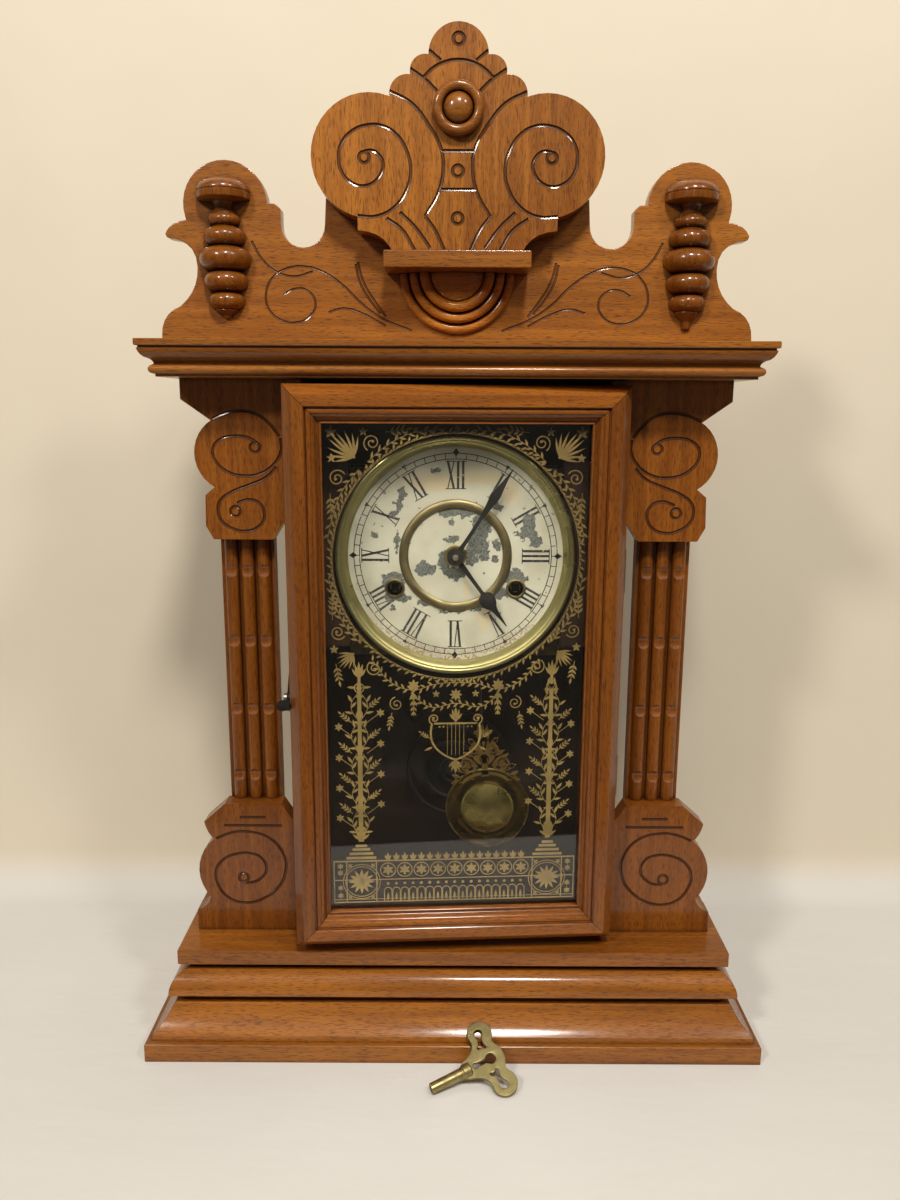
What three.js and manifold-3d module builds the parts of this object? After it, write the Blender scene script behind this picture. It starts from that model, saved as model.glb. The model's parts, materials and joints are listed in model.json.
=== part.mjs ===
// A carved walnut shelf clock: moulded base, glazed case with a pendulum, reeded side columns,
// scroll brackets, cornice and a carved crest. Millimetres, +Z up, front towards -Y.
// The origin is the centre of the underside of the base.
import * as THREE from "three";
import { mergeVertices } from "three/addons/utils/BufferGeometryUtils.js";
import Module from "manifold-3d";

const wasm = await Module();
wasm.setup();

// Fits shared by the whole clock
const seatGap = 0.2; // glue line or bearing face between two pieces
const mitreGap = 0.15; // each mitred end stands back this far from the true mitre
const runGap = 0.4; // running clearance round pins and arbors

// Base and shelf
const baseHalfWidth = 177;
const baseHalfDepth = 61;
const baseHeight = 51;
const baseStripWidth = 32;
const plinthHeight = 10.8;
const plinthLedge = 3.4; // flat left on top of the plinth
const coveFoot = 14.2; // height where the cove starts
const coveTop = 28.5;
const coveDepth = 14.4; // how far the cove leans in at its top
const grooveDepth = 18.5;
const ovoloFoot = 33.8;
const ovoloLip = 11.9; // inset of the ovolo's lower edge
const ovoloRadius = 12.4;
const shelfHalfWidth = 160.4;
const shelfInset = 17; // shelf edge behind the front of the base
const shelfThickness = 9;

// Case
const caseHalfWidth = 91;
const caseWall = 8;
const caseDepth = 85;
const caseHeight = 324.5;
const backThickness = 6;

// Cornice
const corniceHalfWidth = 162;
const corniceOverhang = 30; // in front of the case sides
const corniceHeight = 18.5;
const corniceStripWidth = 20;
const corniceFoot = 8; // inset of the cornice's lower edge
const corniceFillet = 3.4;
const corniceCymaFoot = 5.8;

// Brackets and columns
const bracketSetback = 3.6; // behind the front edge of the case sides
const bracketThickness = 12;
const upperBracketReach = 149.1;
const upperBracketDrop = 87.1;
const upperLobeRadius = 21.3;
const upperLobeX = 121.6;
const upperLobeDrop = 40;
const lowerBracketReach = 153.6;
const lowerBracketRise = 80.8;
const lowerLobeRadius = 26;
const lowerLobeX = 125.6;
const lowerLobeRise = 38.5;
const bracketInnerFoot = 101.3; // where the bracket's free end turns in to the case
const columnCentre = 118.1;
const columnWidth = 30.2;
const columnThickness = 8.4;
const reedRadius = 4;
const reedSpacing = 9.2;
const reedNotchMiddle = 217; // gouge cuts across the reeds, set evenly about this height
const reedNotchSpacing = 40.8;
const reedNotchRadius = 5;

// Crest board, measured up from the top of the cornice
const crestSetback = 15; // behind the front edge of the case sides
const crestThickness = 10;
const crestHalfWidth = 160.5;
const crestShoulderHeight = 20;
const crestShoulderHalfWidth = 149.5;
const crestWaistHalfWidth = 139.5;
const crestWaistHeight = 40;
const crestBeakHalfWidth = 156;
const crestBeakHeight = 57;
const crestEarX = 123.3;
const crestEarHeight = 71.6;
const crestEarRadius = 22.4;
const crestValleyX = 82.3;
const crestValleyHeight = 62;
const crestValleyRadius = 11.7;
const crestCentreHeight = 87;

// Ledge, plate, boss, rosette and finials on the crest
const ledgeHeight = 37; // underside above the cornice
const ledgeThickness = 8.6;
const ledgeHalfWidth = 38;
const ledgeProjection = 10; // in front of the plate
const plateThickness = 15;
const plateFootHalfWidth = 33.6;
const plateStepHalfWidth = 51.7;
const plateStepHeight = 11;
const voluteX = 45.2;
const voluteHeight = 46.9; // above the ledge
const voluteRadius = 30;
const lowLobeX = 25.8; // three steps of round lobes up to the head of the plate
const lowLobeHeight = 76.2;
const lowLobeRadius = 9.2;
const midLobeX = 16.8;
const midLobeHeight = 87;
const midLobeRadius = 7.7;
const topLobeHeight = 94.4;
const topLobeRadius = 15.2;
const bossHeight = 69; // above the ledge
const bossRadius = 13;
const bossProjection = 7;
const rosetteRadius = 31;
const rosetteDomeRadius = 14.5;
const rosetteRings = 3;
const rosetteProjection = 9;
const finialX = 124;
const finialFoot = 8.5; // tip above the cornice
// turned profile from the tip up: radius, height above the tip
const finialBeads = [
  { radius: 9.8, foot: 9.6, top: 18.2 },
  { radius: 11.8, foot: 18.9, top: 29 },
  { radius: 13.8, foot: 29.6, top: 41.2 },
  { radius: 11.3, foot: 41.9, top: 51.2 },
  { radius: 8.7, foot: 52.2, top: 58.2 },
];
const finialTipRadius = 2.8;
const finialNeckRadius = 4.6;
const finialCapFoot = 65.2;
const finialCapRadius = 14.2;
const finialCapBand = 4.2;
const finialHeight = 76.5;

// Door
const doorThickness = 17.7;
const doorFootGap = 6.5;
const doorHeadGap = 3.1;
const doorAjar = 3.6; // degrees the door stands open, its hook lifted off
const doorBevelWidth = 5.2;
const doorBevelDepth = 5.5;
const doorFlatWidth = 6.4;
const doorFrameWidth = 20; // out to in, to the sight edge of the glass
const rabbetWidth = 5;
const rabbetDepth = 9; // from the front face of the door
const glassThickness = 2;
const hingeInset = 98.5; // hinge centres from the foot and head of the door
const hingeLength = 24;
const hingeLeafThickness = 0.8;
const hingeKnuckleRadius = 1.35;
const hingePinRadius = 0.6;
const hingeOffset = 1.6; // pin axis outside the case side
const hingeLeafWidth = 8;
const hookHeight = 213;
const hookReach = 14;
const hookThickness = 1.6;
const hookRaised = 35; // degrees, as it stands when it is lifted off
const hookPivotDepth = 11; // behind the front face of the door
const studRadius = 1.1;

// Dial and hands
const dialHeight = 228; // centre above the shelf
const dialSetback = 10; // behind the front edge of the case sides
const dialRadius = 63.5;
const dialSheet = 0.8;
const bezelRadius = 67.5;
const bezelSight = 60.5;
const bezelDepth = 6.5;
const centreRingRadius = 31.8;
const centreRingSight = 26.6;
const centreRingDepth = 1.4;
const windingX = 34.3;
const windingDrop = 18.7;
const grommetRadius = 5.7;
const grommetBore = 4.3;
const cleatWidth = 23;
const cleatThickness = 12;
const cleatLength = 106;
const minuteHandLength = 58;
const minuteHandAngle = 32.6; // clockwise from twelve
const hourHandLength = 49.3;
const hourHandAngle = 143.6;
const handSheet = 0.7;
const handHubRadius = 4.8;
const hourPipeRadius = 3;
const minuteArborRadius = 1.7;

// Movement
const plateSheet = 1.6;
const movementFront = 3; // front face of the front plate
const movementSpacing = 31.4; // clear space between the plates
const movementHalfWidth = 62;
const movementDrop = 62; // below the dial centre
const movementRise = 48;
const pillarRadius = 3;
const pillarX = 56;
const pillarInset = 6;
const mainWheelRadius = 26;
const mainWheelTeeth = 44;
const windingArborRadius = 3;
const windingSquare = 4.2;
const springRadius = 23;
const springTurns = 5;
const springStrip = 0.8;
const springHeight = 16;
const springPostRadius = 1.6; // holds the spring's outer end
const centreWheelRadius = 17;
const centreWheelTeeth = 36;
const escapeX = -9;
const escapeRise = 24;
const escapeRadius = 10.5;
const escapeTeeth = 24;
const pendulumX = 7.5;
const pendulumRise = 34; // pivot above the dial centre
const pendulumLength = 187; // pivot to the centre of the bob
const pendulumSwing = 3.8; // degrees from the plumb line, towards +X
const rodRadius = 0.8;
const rodPlane = -5;
const suspensionPinRadius = 1.2;
const vergeDrop = 10; // verge pivot below the pendulum's
const vergeReach = 13; // inner radius of the verge strip round the escape wheel
const crutchLength = 34;
const bobRadius = 25;
const bobThickness = 8;
const bobDomeRadius = 15.4;
const ornamentRise = 52.5; // above the centre of the bob
const ornamentHalfWidth = 20.6;

// Strike
const gongHeight = 80; // centre above the shelf
const gongRadius = 38;
const gongTurns = 3.25;
const gongWire = 2.4;
const gongStandoff = 11; // coil in front of the back board
const hammerX = -14;
const hammerDrop = 45; // hammer arbor below the dial centre
const hammerHeadRadius = 5;
const hammerHeadLength = 11;
const hammerStrikeAngle = 125; // place on the gong, degrees from +X
const hammerGap = 0.8;

// Winding key, lying against the base
const keyTiltOfBow = 28; // slope of the bow's plane
const keyTurn = 26.5; // turn of the barrel in that plane
const keyTip = { x: -12, y: -86, z: 3.1 };
const keyBarrelRadius = 3;
const keyBarrelLength = 19;
const keyCollarRadius = 3.9;
const keyCollarLength = 5.5;
const keyBoreSize = 4.4;
const keyBoreDepth = 13;
const keyBowThickness = 2.4;
const keyBowCentre = 37.3;
const keyBowRadius = 8;
const keyLobeX = 38.3;
const keyLobeSpread = 15.6;
const keyLobeRadius = 6.3;
const keyholeRadius = 2.8; // pierced in the middle of the bow
const keyholeTail = 9.5;
const keySlotWidth = 4.2; // slots through the two lobes

// Planes and heights that follow from the sizes above
const back = baseHalfDepth;
const baseFront = -baseHalfDepth;
const shelfTop = baseHeight + shelfThickness;
const caseFront = back - caseDepth;
const caseTop = shelfTop + caseHeight;
const caseInner = caseHalfWidth - caseWall;
const backFace = back - backThickness;
const doorBack = caseFront - seatGap;
const doorFront = doorBack - doorThickness;
const doorBottom = shelfTop + doorFootGap;
const doorTop = caseTop - doorHeadGap;
const bracketFront = caseFront + bracketSetback;
const columnFace = bracketFront + bracketThickness;
const crestFace = caseFront + crestSetback;
const crestFoot = caseTop + corniceHeight;
const ledgeFoot = crestFoot + ledgeHeight;
const ledgeTop = ledgeFoot + ledgeThickness;
const plateFront = crestFace - plateThickness;
const dialZ = shelfTop + dialHeight;
const dialFace = caseFront + dialSetback;
const dialBack = dialFace + dialSheet;
const windingZ = dialZ - windingDrop;
const platesBack = movementFront + plateSheet + movementSpacing; // front face of the back plate
const mainWheelFront = movementFront + plateSheet + 8;
const springFront = mainWheelFront + 4.4;
const gongZ = shelfTop + gongHeight;

// Finishes
const walnut = finish(0x8a5220, 0.38, 0);
const walnutInside = finish(0x3c2412, 0.7, 0);
const brass = finish(0xa8863c, 0.32, 1);
const agedBrass = finish(0x857446, 0.45, 1);
const blackSteel = finish(0x14110f, 0.4, 0.6);
const steel = finish(0x6d6a64, 0.4, 1);
const blueSteel = finish(0x2c3038, 0.35, 1);
const castIron = finish(0x2b2826, 0.7, 0.5);
const dialPaint = finish(0xd9cfae, 0.5, 0);
const pane = new THREE.MeshStandardMaterial({
  color: 0xcfd6d2,
  roughness: 0.06,
  metalness: 0,
  transparent: true,
  opacity: 0.25,
});

function finish(color, roughness, metalness) {
  return new THREE.MeshStandardMaterial({ color, roughness, metalness });
}

// ---- Shaping helpers ----

function point(x, y) {
  return new THREE.Vector2(x, y);
}

function radians(degrees) {
  return THREE.MathUtils.degToRad(degrees);
}

// Points of an arc, its end included
function arc(cx, cy, radius, fromDegrees, toDegrees, steps) {
  const points = [];
  for (let i = 0; i <= steps; i += 1) {
    const angle = radians(fromDegrees + ((toDegrees - fromDegrees) * i) / steps);
    points.push(point(cx + radius * Math.cos(angle), cy + radius * Math.sin(angle)));
  }
  return points;
}

// Points of a bend from one point to another, drawn towards a third, without its first point
function bend(from, towards, to, steps) {
  const curve = new THREE.QuadraticBezierCurve(from, towards, to);
  return curve.getPoints(steps).slice(1);
}

function disc(cx, cy, radius, steps = 32) {
  return arc(cx, cy, radius, 0, 360, steps).slice(0, steps);
}

// The right half of an outline, from its foot on the centre line up to its head, made whole
function bothHalves(half) {
  const left = half
    .filter((p) => p.x > 0)
    .map((p) => point(-p.x, p.y))
    .reverse();
  return [...half, ...left];
}

function mirroredX(outline) {
  return outline.map((p) => point(-p.x, p.y)).reverse();
}

function shapeOf(outline, holes) {
  const shape = new THREE.Shape(outline);
  shape.holes = holes.map((hole) => new THREE.Path(hole));
  return shape;
}

function extruded(outline, depth, holes) {
  const settings = { depth, bevelEnabled: false, steps: 1 };
  return new THREE.ExtrudeGeometry(shapeOf(outline, holes), settings);
}

// A slab whose outline is seen from the front (x, z)
function frontSlab(outline, yFront, yBack, holes = []) {
  const slab = extruded(outline, yBack - yFront, holes);
  return slab.rotateX(Math.PI / 2).translate(0, yBack, 0);
}

// A slab whose outline is seen from the side (y, z)
function sideSlab(outline, xLow, xHigh, holes = []) {
  const slab = extruded(outline, xHigh - xLow, holes);
  const turn = new THREE.Matrix4().set(0, 0, 1, xLow, 1, 0, 0, 0, 0, 1, 0, 0, 0, 0, 0, 1);
  return slab.applyMatrix4(turn);
}

function box(x, y, z) {
  const [width, depth, height] = [x[1] - x[0], y[1] - y[0], z[1] - z[0]];
  const block = new THREE.BoxGeometry(width, depth, height);
  return block.translate((x[0] + x[1]) / 2, (y[0] + y[1]) / 2, (z[0] + z[1]) / 2);
}

function signedVolume(geometry) {
  const flat = geometry.index ? geometry.toNonIndexed() : geometry;
  const at = flat.getAttribute("position");
  const [a, b, c] = [new THREE.Vector3(), new THREE.Vector3(), new THREE.Vector3()];
  let volume = 0;
  for (let i = 0; i < at.count; i += 3) {
    a.fromBufferAttribute(at, i);
    b.fromBufferAttribute(at, i + 1);
    c.fromBufferAttribute(at, i + 2);
    volume += a.dot(b.cross(c)) / 6;
  }
  return volume;
}

// Turns every face round where a geometry faces inwards
function facingOut(geometry) {
  const flat = geometry.index ? geometry.toNonIndexed() : geometry;
  if (signedVolume(flat) > 0) return flat;
  const at = flat.getAttribute("position").array;
  for (let i = 0; i < at.length; i += 9) {
    for (let k = 0; k < 3; k += 1) {
      [at[i + k], at[i + 3 + k]] = [at[i + 3 + k], at[i + k]];
    }
  }
  flat.computeVertexNormals();
  return flat;
}

// A turned piece about an axis along Y; the profile holds radius and y
function turnedAboutY(profile, segments = 24) {
  return facingOut(new THREE.LatheGeometry(profile, segments));
}

// A turned piece about an upright axis; the profile holds radius and z
function turnedAboutZ(profile, segments = 24) {
  return facingOut(new THREE.LatheGeometry(profile, segments).rotateX(Math.PI / 2));
}

function rodAlongY(x, z, radius, yFront, yBack, segments = 12) {
  const profile = [point(0, yFront), point(radius, yFront), point(radius, yBack), point(0, yBack)];
  return turnedAboutY(profile, segments).translate(x, 0, z);
}

function rodAlongX(y, z, radius, xLow, xHigh, segments = 12) {
  const rod = rodAlongY(0, 0, radius, xLow, xHigh, segments);
  return facingOut(rod.rotateZ(-Math.PI / 2).translate(0, y, z));
}

function rodAlongZ(x, y, radius, zLow, zHigh, segments = 12) {
  const profile = [point(0, zLow), point(radius, zLow), point(radius, zHigh), point(0, zHigh)];
  return turnedAboutZ(profile, segments).translate(x, y, 0);
}

// One outline carried between two ends, each of which places it in space
function carried(section, placeStart, placeEnd) {
  const outline = THREE.ShapeUtils.isClockWise(section) ? [...section].reverse() : section;
  const start = outline.map(placeStart);
  const end = outline.map(placeEnd);
  const corners = [];
  for (const [a, b, c] of THREE.ShapeUtils.triangulateShape(outline, [])) {
    corners.push(start[c], start[b], start[a], end[a], end[b], end[c]);
  }
  outline.forEach((_, i) => {
    const next = (i + 1) % outline.length;
    corners.push(start[i], start[next], end[next], start[i], end[next], end[i]);
  });
  return facingOut(new THREE.BufferGeometry().setFromPoints(corners));
}

function solidOf(geometry) {
  const bare = facingOut(geometry).clone();
  bare.deleteAttribute("normal");
  bare.deleteAttribute("uv");
  const merged = mergeVertices(bare, 1e-4);
  const vertProperties = merged.getAttribute("position").array;
  const triVerts = new Uint32Array(merged.index.array);
  return new wasm.Manifold(new wasm.Mesh({ numProp: 3, vertProperties, triVerts }));
}

function geometryOf(solid) {
  const mesh = solid.getMesh();
  const geometry = new THREE.BufferGeometry();
  geometry.setAttribute("position", new THREE.BufferAttribute(mesh.vertProperties, 3));
  geometry.setIndex(new THREE.BufferAttribute(mesh.triVerts, 1));
  const flat = geometry.toNonIndexed();
  flat.computeVertexNormals();
  return flat;
}

function joined(...pieces) {
  return geometryOf(pieces.map(solidOf).reduce((whole, piece) => whole.add(piece)));
}

function cut(piece, ...tools) {
  return geometryOf(tools.map(solidOf).reduce((rest, tool) => rest.subtract(tool), solidOf(piece)));
}

const clock = new THREE.Group();

function add(name, geometry, material, parent = clock) {
  const mesh = new THREE.Mesh(geometry, material);
  mesh.name = name;
  parent.add(mesh);
  return mesh;
}

const bothSides = [
  { name: "left", side: -1 },
  { name: "right", side: 1 },
];

// ---- Base and shelf ----

// Section of the base moulding: inset from the outer face, height
function baseSection() {
  const coveStart = point(plinthLedge + 0.4, coveFoot);
  const coveEnd = point(coveDepth, coveTop);
  const pull = point(coveDepth * 0.76, coveFoot + (coveTop - coveFoot) * 0.4);
  const ovoloX = ovoloLip + ovoloRadius;
  const ovolo = arc(ovoloX, ovoloFoot + 1.2, ovoloRadius, 180, 90, 6);
  return [
    point(0, 0),
    point(0, plinthHeight),
    point(plinthLedge, plinthHeight),
    coveStart,
    ...bend(coveStart, pull, coveEnd, 5),
    point(grooveDepth, coveTop),
    point(grooveDepth, ovoloFoot),
    point(ovoloLip, ovoloFoot),
    ...ovolo,
    point(ovoloX, baseHeight),
    point(baseStripWidth, baseHeight),
    point(baseStripWidth, 0),
  ];
}

// A mitred frame of three runs round the front and both sides
function addMitredFrame(prefix, section, halfWidth, front, foot) {
  const run = (x, place) => (p) => new THREE.Vector3(x(p), place(p), foot + p.y);
  const frontRun = carried(
    section,
    run((p) => -halfWidth + p.x + mitreGap, (p) => front + p.x),
    run((p) => halfWidth - p.x - mitreGap, (p) => front + p.x),
  );
  add(prefix + "_front", frontRun, walnut);
  for (const { name, side } of bothSides) {
    const x = (p) => side * (halfWidth - p.x);
    const sideRun = carried(section, run(x, (p) => front + p.x + mitreGap), run(x, () => back));
    add(prefix + "_" + name, sideRun, walnut);
  }
}

function addBase() {
  addMitredFrame("base_moulding", baseSection(), baseHalfWidth, baseFront, 0);
  const inner = baseHalfWidth - baseStripWidth;
  const rail = box([-inner, inner], [back - caseWall * 2, back], [0, baseHeight]);
  add("base_back_rail", rail, walnutInside);
  const shelf = box(
    [-shelfHalfWidth, shelfHalfWidth],
    [baseFront + shelfInset, back],
    [baseHeight, shelfTop],
  );
  add("shelf_board", shelf, walnut);
}

// ---- Case and cornice ----

function addCase() {
  for (const { name, side } of bothSides) {
    const x = [side * caseInner, side * caseHalfWidth].sort((a, b) => a - b);
    add("case_side_" + name, box(x, [caseFront, back], [shelfTop, caseTop]), walnut);
  }
  const board = box([-caseInner, caseInner], [backFace, back], [shelfTop, caseTop]);
  add("back_board", board, walnutInside);
}

// Section of the cornice: inset from the outer face, height above its foot
function corniceSection() {
  const cymaTop = point(1, corniceHeight - corniceFillet - 0.8);
  const cymaFoot = point(corniceFoot - 0.4, corniceCymaFoot);
  return [
    point(0, corniceHeight),
    point(0, corniceHeight - corniceFillet),
    cymaTop,
    ...bend(cymaTop, point(6.2, 12), cymaFoot, 5),
    point(corniceFoot - 2.4, corniceCymaFoot - 1.2),
    point(corniceFoot - 2.7, corniceCymaFoot - 2.6),
    point(corniceFoot - 1.8, 1.4),
    point(corniceFoot, 1.2),
    point(corniceFoot, 0),
    point(corniceStripWidth, 0),
    point(corniceStripWidth, corniceHeight),
  ];
}

function addCornice() {
  const front = caseFront - corniceOverhang;
  addMitredFrame("cornice_moulding", corniceSection(), corniceHalfWidth, front, caseTop);
  const inner = corniceHalfWidth - corniceStripWidth;
  const top = box([-inner, inner], [front + corniceStripWidth, back], [caseTop, crestFoot]);
  add("top_board", top, walnutInside);
}

// ---- Brackets and columns ----

// Outlines of the right-hand brackets (x, z); the round lobe is a disc joined to the board
function upperBracket(side) {
  const z = (drop) => caseTop - drop;
  const reach = upperBracketReach;
  const end = upperBracketDrop;
  const outline = [
    point(caseHalfWidth, z(0)),
    point(caseHalfWidth, z(end - 12)),
    point(bracketInnerFoot - 5.4, z(end - 8.5)),
    point(bracketInnerFoot, z(end)),
    point(reach - 15, z(end)),
    point(reach - 10.8, z(end - 7.6)),
    point(reach - 11.3, z(end - 24.4)),
    point(reach - 17.2, z(end - 29.4)),
    point(reach - 15.8, z(22.1)),
    point(reach, z(11)),
    point(reach, z(0)),
  ];
  const lobe = disc(upperLobeX, z(upperLobeDrop), upperLobeRadius, 36);
  return bracketSolid(outline, lobe, side);
}

function lowerBracket(side) {
  const z = (rise) => shelfTop + rise;
  const reach = lowerBracketReach;
  const end = lowerBracketRise;
  const coveStart = point(reach, z(13));
  const coveEnd = point(reach - 8.3, z(21.5));
  const outline = [
    point(caseHalfWidth, z(0)),
    point(reach, z(0)),
    coveStart,
    ...bend(coveStart, point(reach - 7, z(15)), coveEnd, 4),
    point(reach - 8.3, z(27.5)),
    point(reach - 2.8, z(33)),
    point(reach - 12.4, z(58)),
    ...bend(point(reach - 12.4, z(58)), point(reach - 7.6, z(62)), point(reach - 6.3, z(end - 11.3)), 4),
    point(reach - 18.9, z(end)),
    point(bracketInnerFoot, z(end)),
    point(bracketInnerFoot - 5.4, z(end - 8.5)),
    point(caseHalfWidth, z(end - 12)),
  ];
  const lobe = disc(lowerLobeX, z(lowerLobeRise), lowerLobeRadius, 36);
  return bracketSolid(outline, lobe, side);
}

function bracketSolid(outline, lobe, side) {
  const seat = columnFace;
  const placed = side < 0 ? [mirroredX(outline), mirroredX(lobe)] : [outline, lobe];
  return joined(...placed.map((shape) => frontSlab(shape, bracketFront, seat)));
}

function column(side) {
  const centre = side * columnCentre;
  const x = [centre - columnWidth / 2, centre + columnWidth / 2];
  const board = box(x, [columnFace, columnFace + columnThickness], [shelfTop, caseTop]);
  const zLow = shelfTop + lowerBracketRise + seatGap;
  const zHigh = caseTop - upperBracketDrop - seatGap;
  const reeds = [-1, 0, 1].map((step) =>
    rodAlongZ(centre + step * reedSpacing, columnFace, reedRadius, zLow, zHigh, 16),
  );
  const notches = [-1.5, -0.5, 0.5, 1.5].map((step) => {
    const z = reedNotchMiddle + step * reedNotchSpacing;
    return rodAlongX(columnFace - reedRadius - 2.4, z, reedNotchRadius, x[0] - 1, x[1] + 1, 12);
  });
  return cut(joined(board, ...reeds), ...notches);
}

function addBracketsAndColumns() {
  for (const { name, side } of bothSides) {
    add("upper_bracket_" + name, upperBracket(side), walnut);
    add("lower_bracket_" + name, lowerBracket(side), walnut);
    add("column_" + name, column(side), walnut);
  }
}

// ---- Crest ----

function crestOutline() {
  const z = (height) => crestFoot + height;
  const shoulder = point(crestShoulderHalfWidth, z(crestShoulderHeight));
  const waist = point(crestWaistHalfWidth, z(crestWaistHeight));
  const beakFoot = point(crestBeakHalfWidth - 1, z(crestBeakHeight - 2));
  const beak = point(crestBeakHalfWidth, z(crestBeakHeight));
  const earEdge = crestEarX + crestEarRadius * 0.94;
  const earFoot = point(earEdge, z(crestEarHeight - crestEarRadius * 0.34));
  const stepX = crestValleyX + crestValleyRadius;
  const stepZ = z(crestEarHeight + 0.8);
  const edge = point(crestHalfWidth, z(4));
  const half = [
    point(0, z(0)),
    point(crestHalfWidth, z(0)),
    edge,
    ...bend(edge, point(crestHalfWidth, z(crestShoulderHeight - 4)), shoulder, 5),
    ...bend(shoulder, point(crestWaistHalfWidth, z(crestShoulderHeight + 8)), waist, 5),
    ...bend(waist, point(crestWaistHalfWidth, z(crestBeakHeight - 3)), beakFoot, 5),
    beak,
    ...bend(beak, point(crestBeakHalfWidth - 3, z(crestBeakHeight + 6.5)), earFoot, 4),
    ...arc(crestEarX, z(crestEarHeight), crestEarRadius, -16, 178, 18),
    point(stepX + 2.8, stepZ),
    point(stepX, stepZ - 2.6),
    ...arc(crestValleyX, z(crestValleyHeight), crestValleyRadius, 0, -180, 12),
    point(crestValleyX - crestValleyRadius - 1.4, z(crestCentreHeight)),
    point(0, z(crestCentreHeight)),
  ];
  return bothHalves(half);
}

function plateOutlines() {
  const z = (height) => ledgeTop + height;
  const foot = point(plateFootHalfWidth, z(0));
  const step = point(plateStepHalfWidth, z(plateStepHeight));
  const lobes = [
    { x: lowLobeX, height: lowLobeHeight, radius: lowLobeRadius },
    { x: midLobeX, height: midLobeHeight, radius: midLobeRadius },
    { x: 0, height: topLobeHeight, radius: topLobeRadius },
  ];
  const body = bothHalves([
    point(0, z(0)),
    foot,
    ...bend(foot, point(plateFootHalfWidth + 4, z(plateStepHeight - 0.8)), step, 5),
    point(plateStepHalfWidth, z(voluteHeight - voluteRadius + 2)),
    point(voluteX, z(voluteHeight)),
    ...lobes.map((lobe) => point(lobe.x, z(lobe.height))),
  ]);
  const round = [{ x: voluteX, height: voluteHeight, radius: voluteRadius }, ...lobes];
  const discs = round.flatMap((lobe) => {
    const sides = lobe.x > 0 ? [-1, 1] : [1];
    return sides.map((side) => disc(side * lobe.x, z(lobe.height), lobe.radius, 40));
  });
  return [body, ...discs];
}

function boss() {
  const ring = arc(bossRadius - 3, -3.2, 3, 0, -180, 6).map((p) => point(p.x, p.y));
  const dome = arc(0, -1.5, 1, 0, -90, 5).map((p) => {
    const radius = (bossRadius - 5) * p.x;
    return point(Math.max(radius, 0), -1.5 + (bossProjection - 1.5) * (p.y + 1.5));
  });
  const profile = [point(0, 0), point(bossRadius, 0), ...ring, ...dome];
  profile[profile.length - 1].x = 0;
  const seat = plateFront - seatGap;
  return turnedAboutY(profile, 28).translate(0, seat, ledgeTop + bossHeight);
}

// Half of a turned rosette, its flat side up against the ledge
function rosette() {
  const width = (rosetteRadius - rosetteDomeRadius) / rosetteRings;
  const profile = [point(0, 0), point(rosetteRadius, 0)];
  for (let i = 0; i < rosetteRings; i += 1) {
    const rise = (rosetteProjection * (i + 1)) / rosetteRings - width / 2;
    const centre = rosetteRadius - width * (i + 0.5);
    const bead = arc(centre, 0, width / 2, 0, -180, 5);
    profile.push(...bead.map((p) => point(p.x, p.y - rise)));
  }
  const domeRise = rosetteProjection - width / 2;
  for (let i = 1; i <= 4; i += 1) {
    const angle = radians((90 * i) / 4);
    const radius = i === 4 ? 0 : rosetteDomeRadius * Math.cos(angle);
    profile.push(point(radius, -domeRise - (width / 2) * Math.sin(angle)));
  }
  const whole = turnedAboutY(profile, 40);
  const over = rosetteRadius + 1;
  const upper = box([-over, over], [-over, over], [0, over]);
  const half = cut(whole, upper);
  return half.translate(0, crestFace - seatGap, ledgeFoot - seatGap);
}

// A drop finial turned in one piece and split down the middle
function finial(side) {
  const profile = [point(0, 0), point(finialTipRadius - 0.6, 0), point(finialTipRadius, 0.8)];
  profile.push(point(finialTipRadius, 4.6), point(finialTipRadius + 1.2, 5.6), point(6, 8.2));
  for (const bead of finialBeads) {
    const middle = (bead.foot + bead.top) / 2;
    const rise = (bead.top - bead.foot) / 2;
    const round = arc(0, 0, 1, -75, 75, 6);
    profile.push(...round.map((p) => point(bead.radius - rise * (1 - p.x), middle + rise * p.y)));
  }
  const band = finialCapFoot + finialCapBand;
  profile.push(point(finialNeckRadius, finialCapFoot - 5), point(finialNeckRadius + 1, finialCapFoot - 1.5));
  profile.push(point(finialCapRadius - 1, finialCapFoot), point(finialCapRadius, finialCapFoot + 0.8));
  profile.push(point(finialCapRadius, band - 0.5), point(finialCapRadius - 0.5, band));
  for (let i = 1; i <= 4; i += 1) {
    const angle = radians((90 * i) / 4);
    const radius = i === 4 ? 0 : (finialCapRadius - 0.5) * Math.cos(angle);
    profile.push(point(radius, band + (finialHeight - band) * Math.sin(angle)));
  }
  const whole = turnedAboutZ(profile, 24);
  const over = finialCapRadius + 1;
  const rear = box([-over, over], [0, over], [-1, finialHeight + 1]);
  const half = cut(whole, rear);
  return half.translate(side * finialX, crestFace - seatGap, crestFoot + finialFoot);
}

function addCrest() {
  const board = frontSlab(crestOutline(), crestFace, crestFace + crestThickness);
  add("crest_board", board, walnut);
  const slabs = plateOutlines().map((shape) => frontSlab(shape, plateFront, crestFace));
  add("crest_plate", joined(...slabs), walnut);
  const ledgeFront = plateFront - ledgeProjection;
  const ledge = box([-ledgeHalfWidth, ledgeHalfWidth], [ledgeFront, crestFace], [ledgeFoot, ledgeTop]);
  add("crest_ledge", ledge, walnut);
  add("crest_boss", boss(), walnut);
  add("crest_rosette", rosette(), walnut);
  for (const { name, side } of bothSides) {
    add("finial_" + name, finial(side), walnut);
  }
}

// ---- Door ----

// Everything on the door turns with it about the hinge pins
const hingeX = caseHalfWidth + hingeOffset;
const hingeY = (caseFront + doorBack) / 2;
const door = new THREE.Group();
door.position.set(hingeX, hingeY, 0);
door.rotation.z = radians(doorAjar);
clock.add(door);

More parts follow.
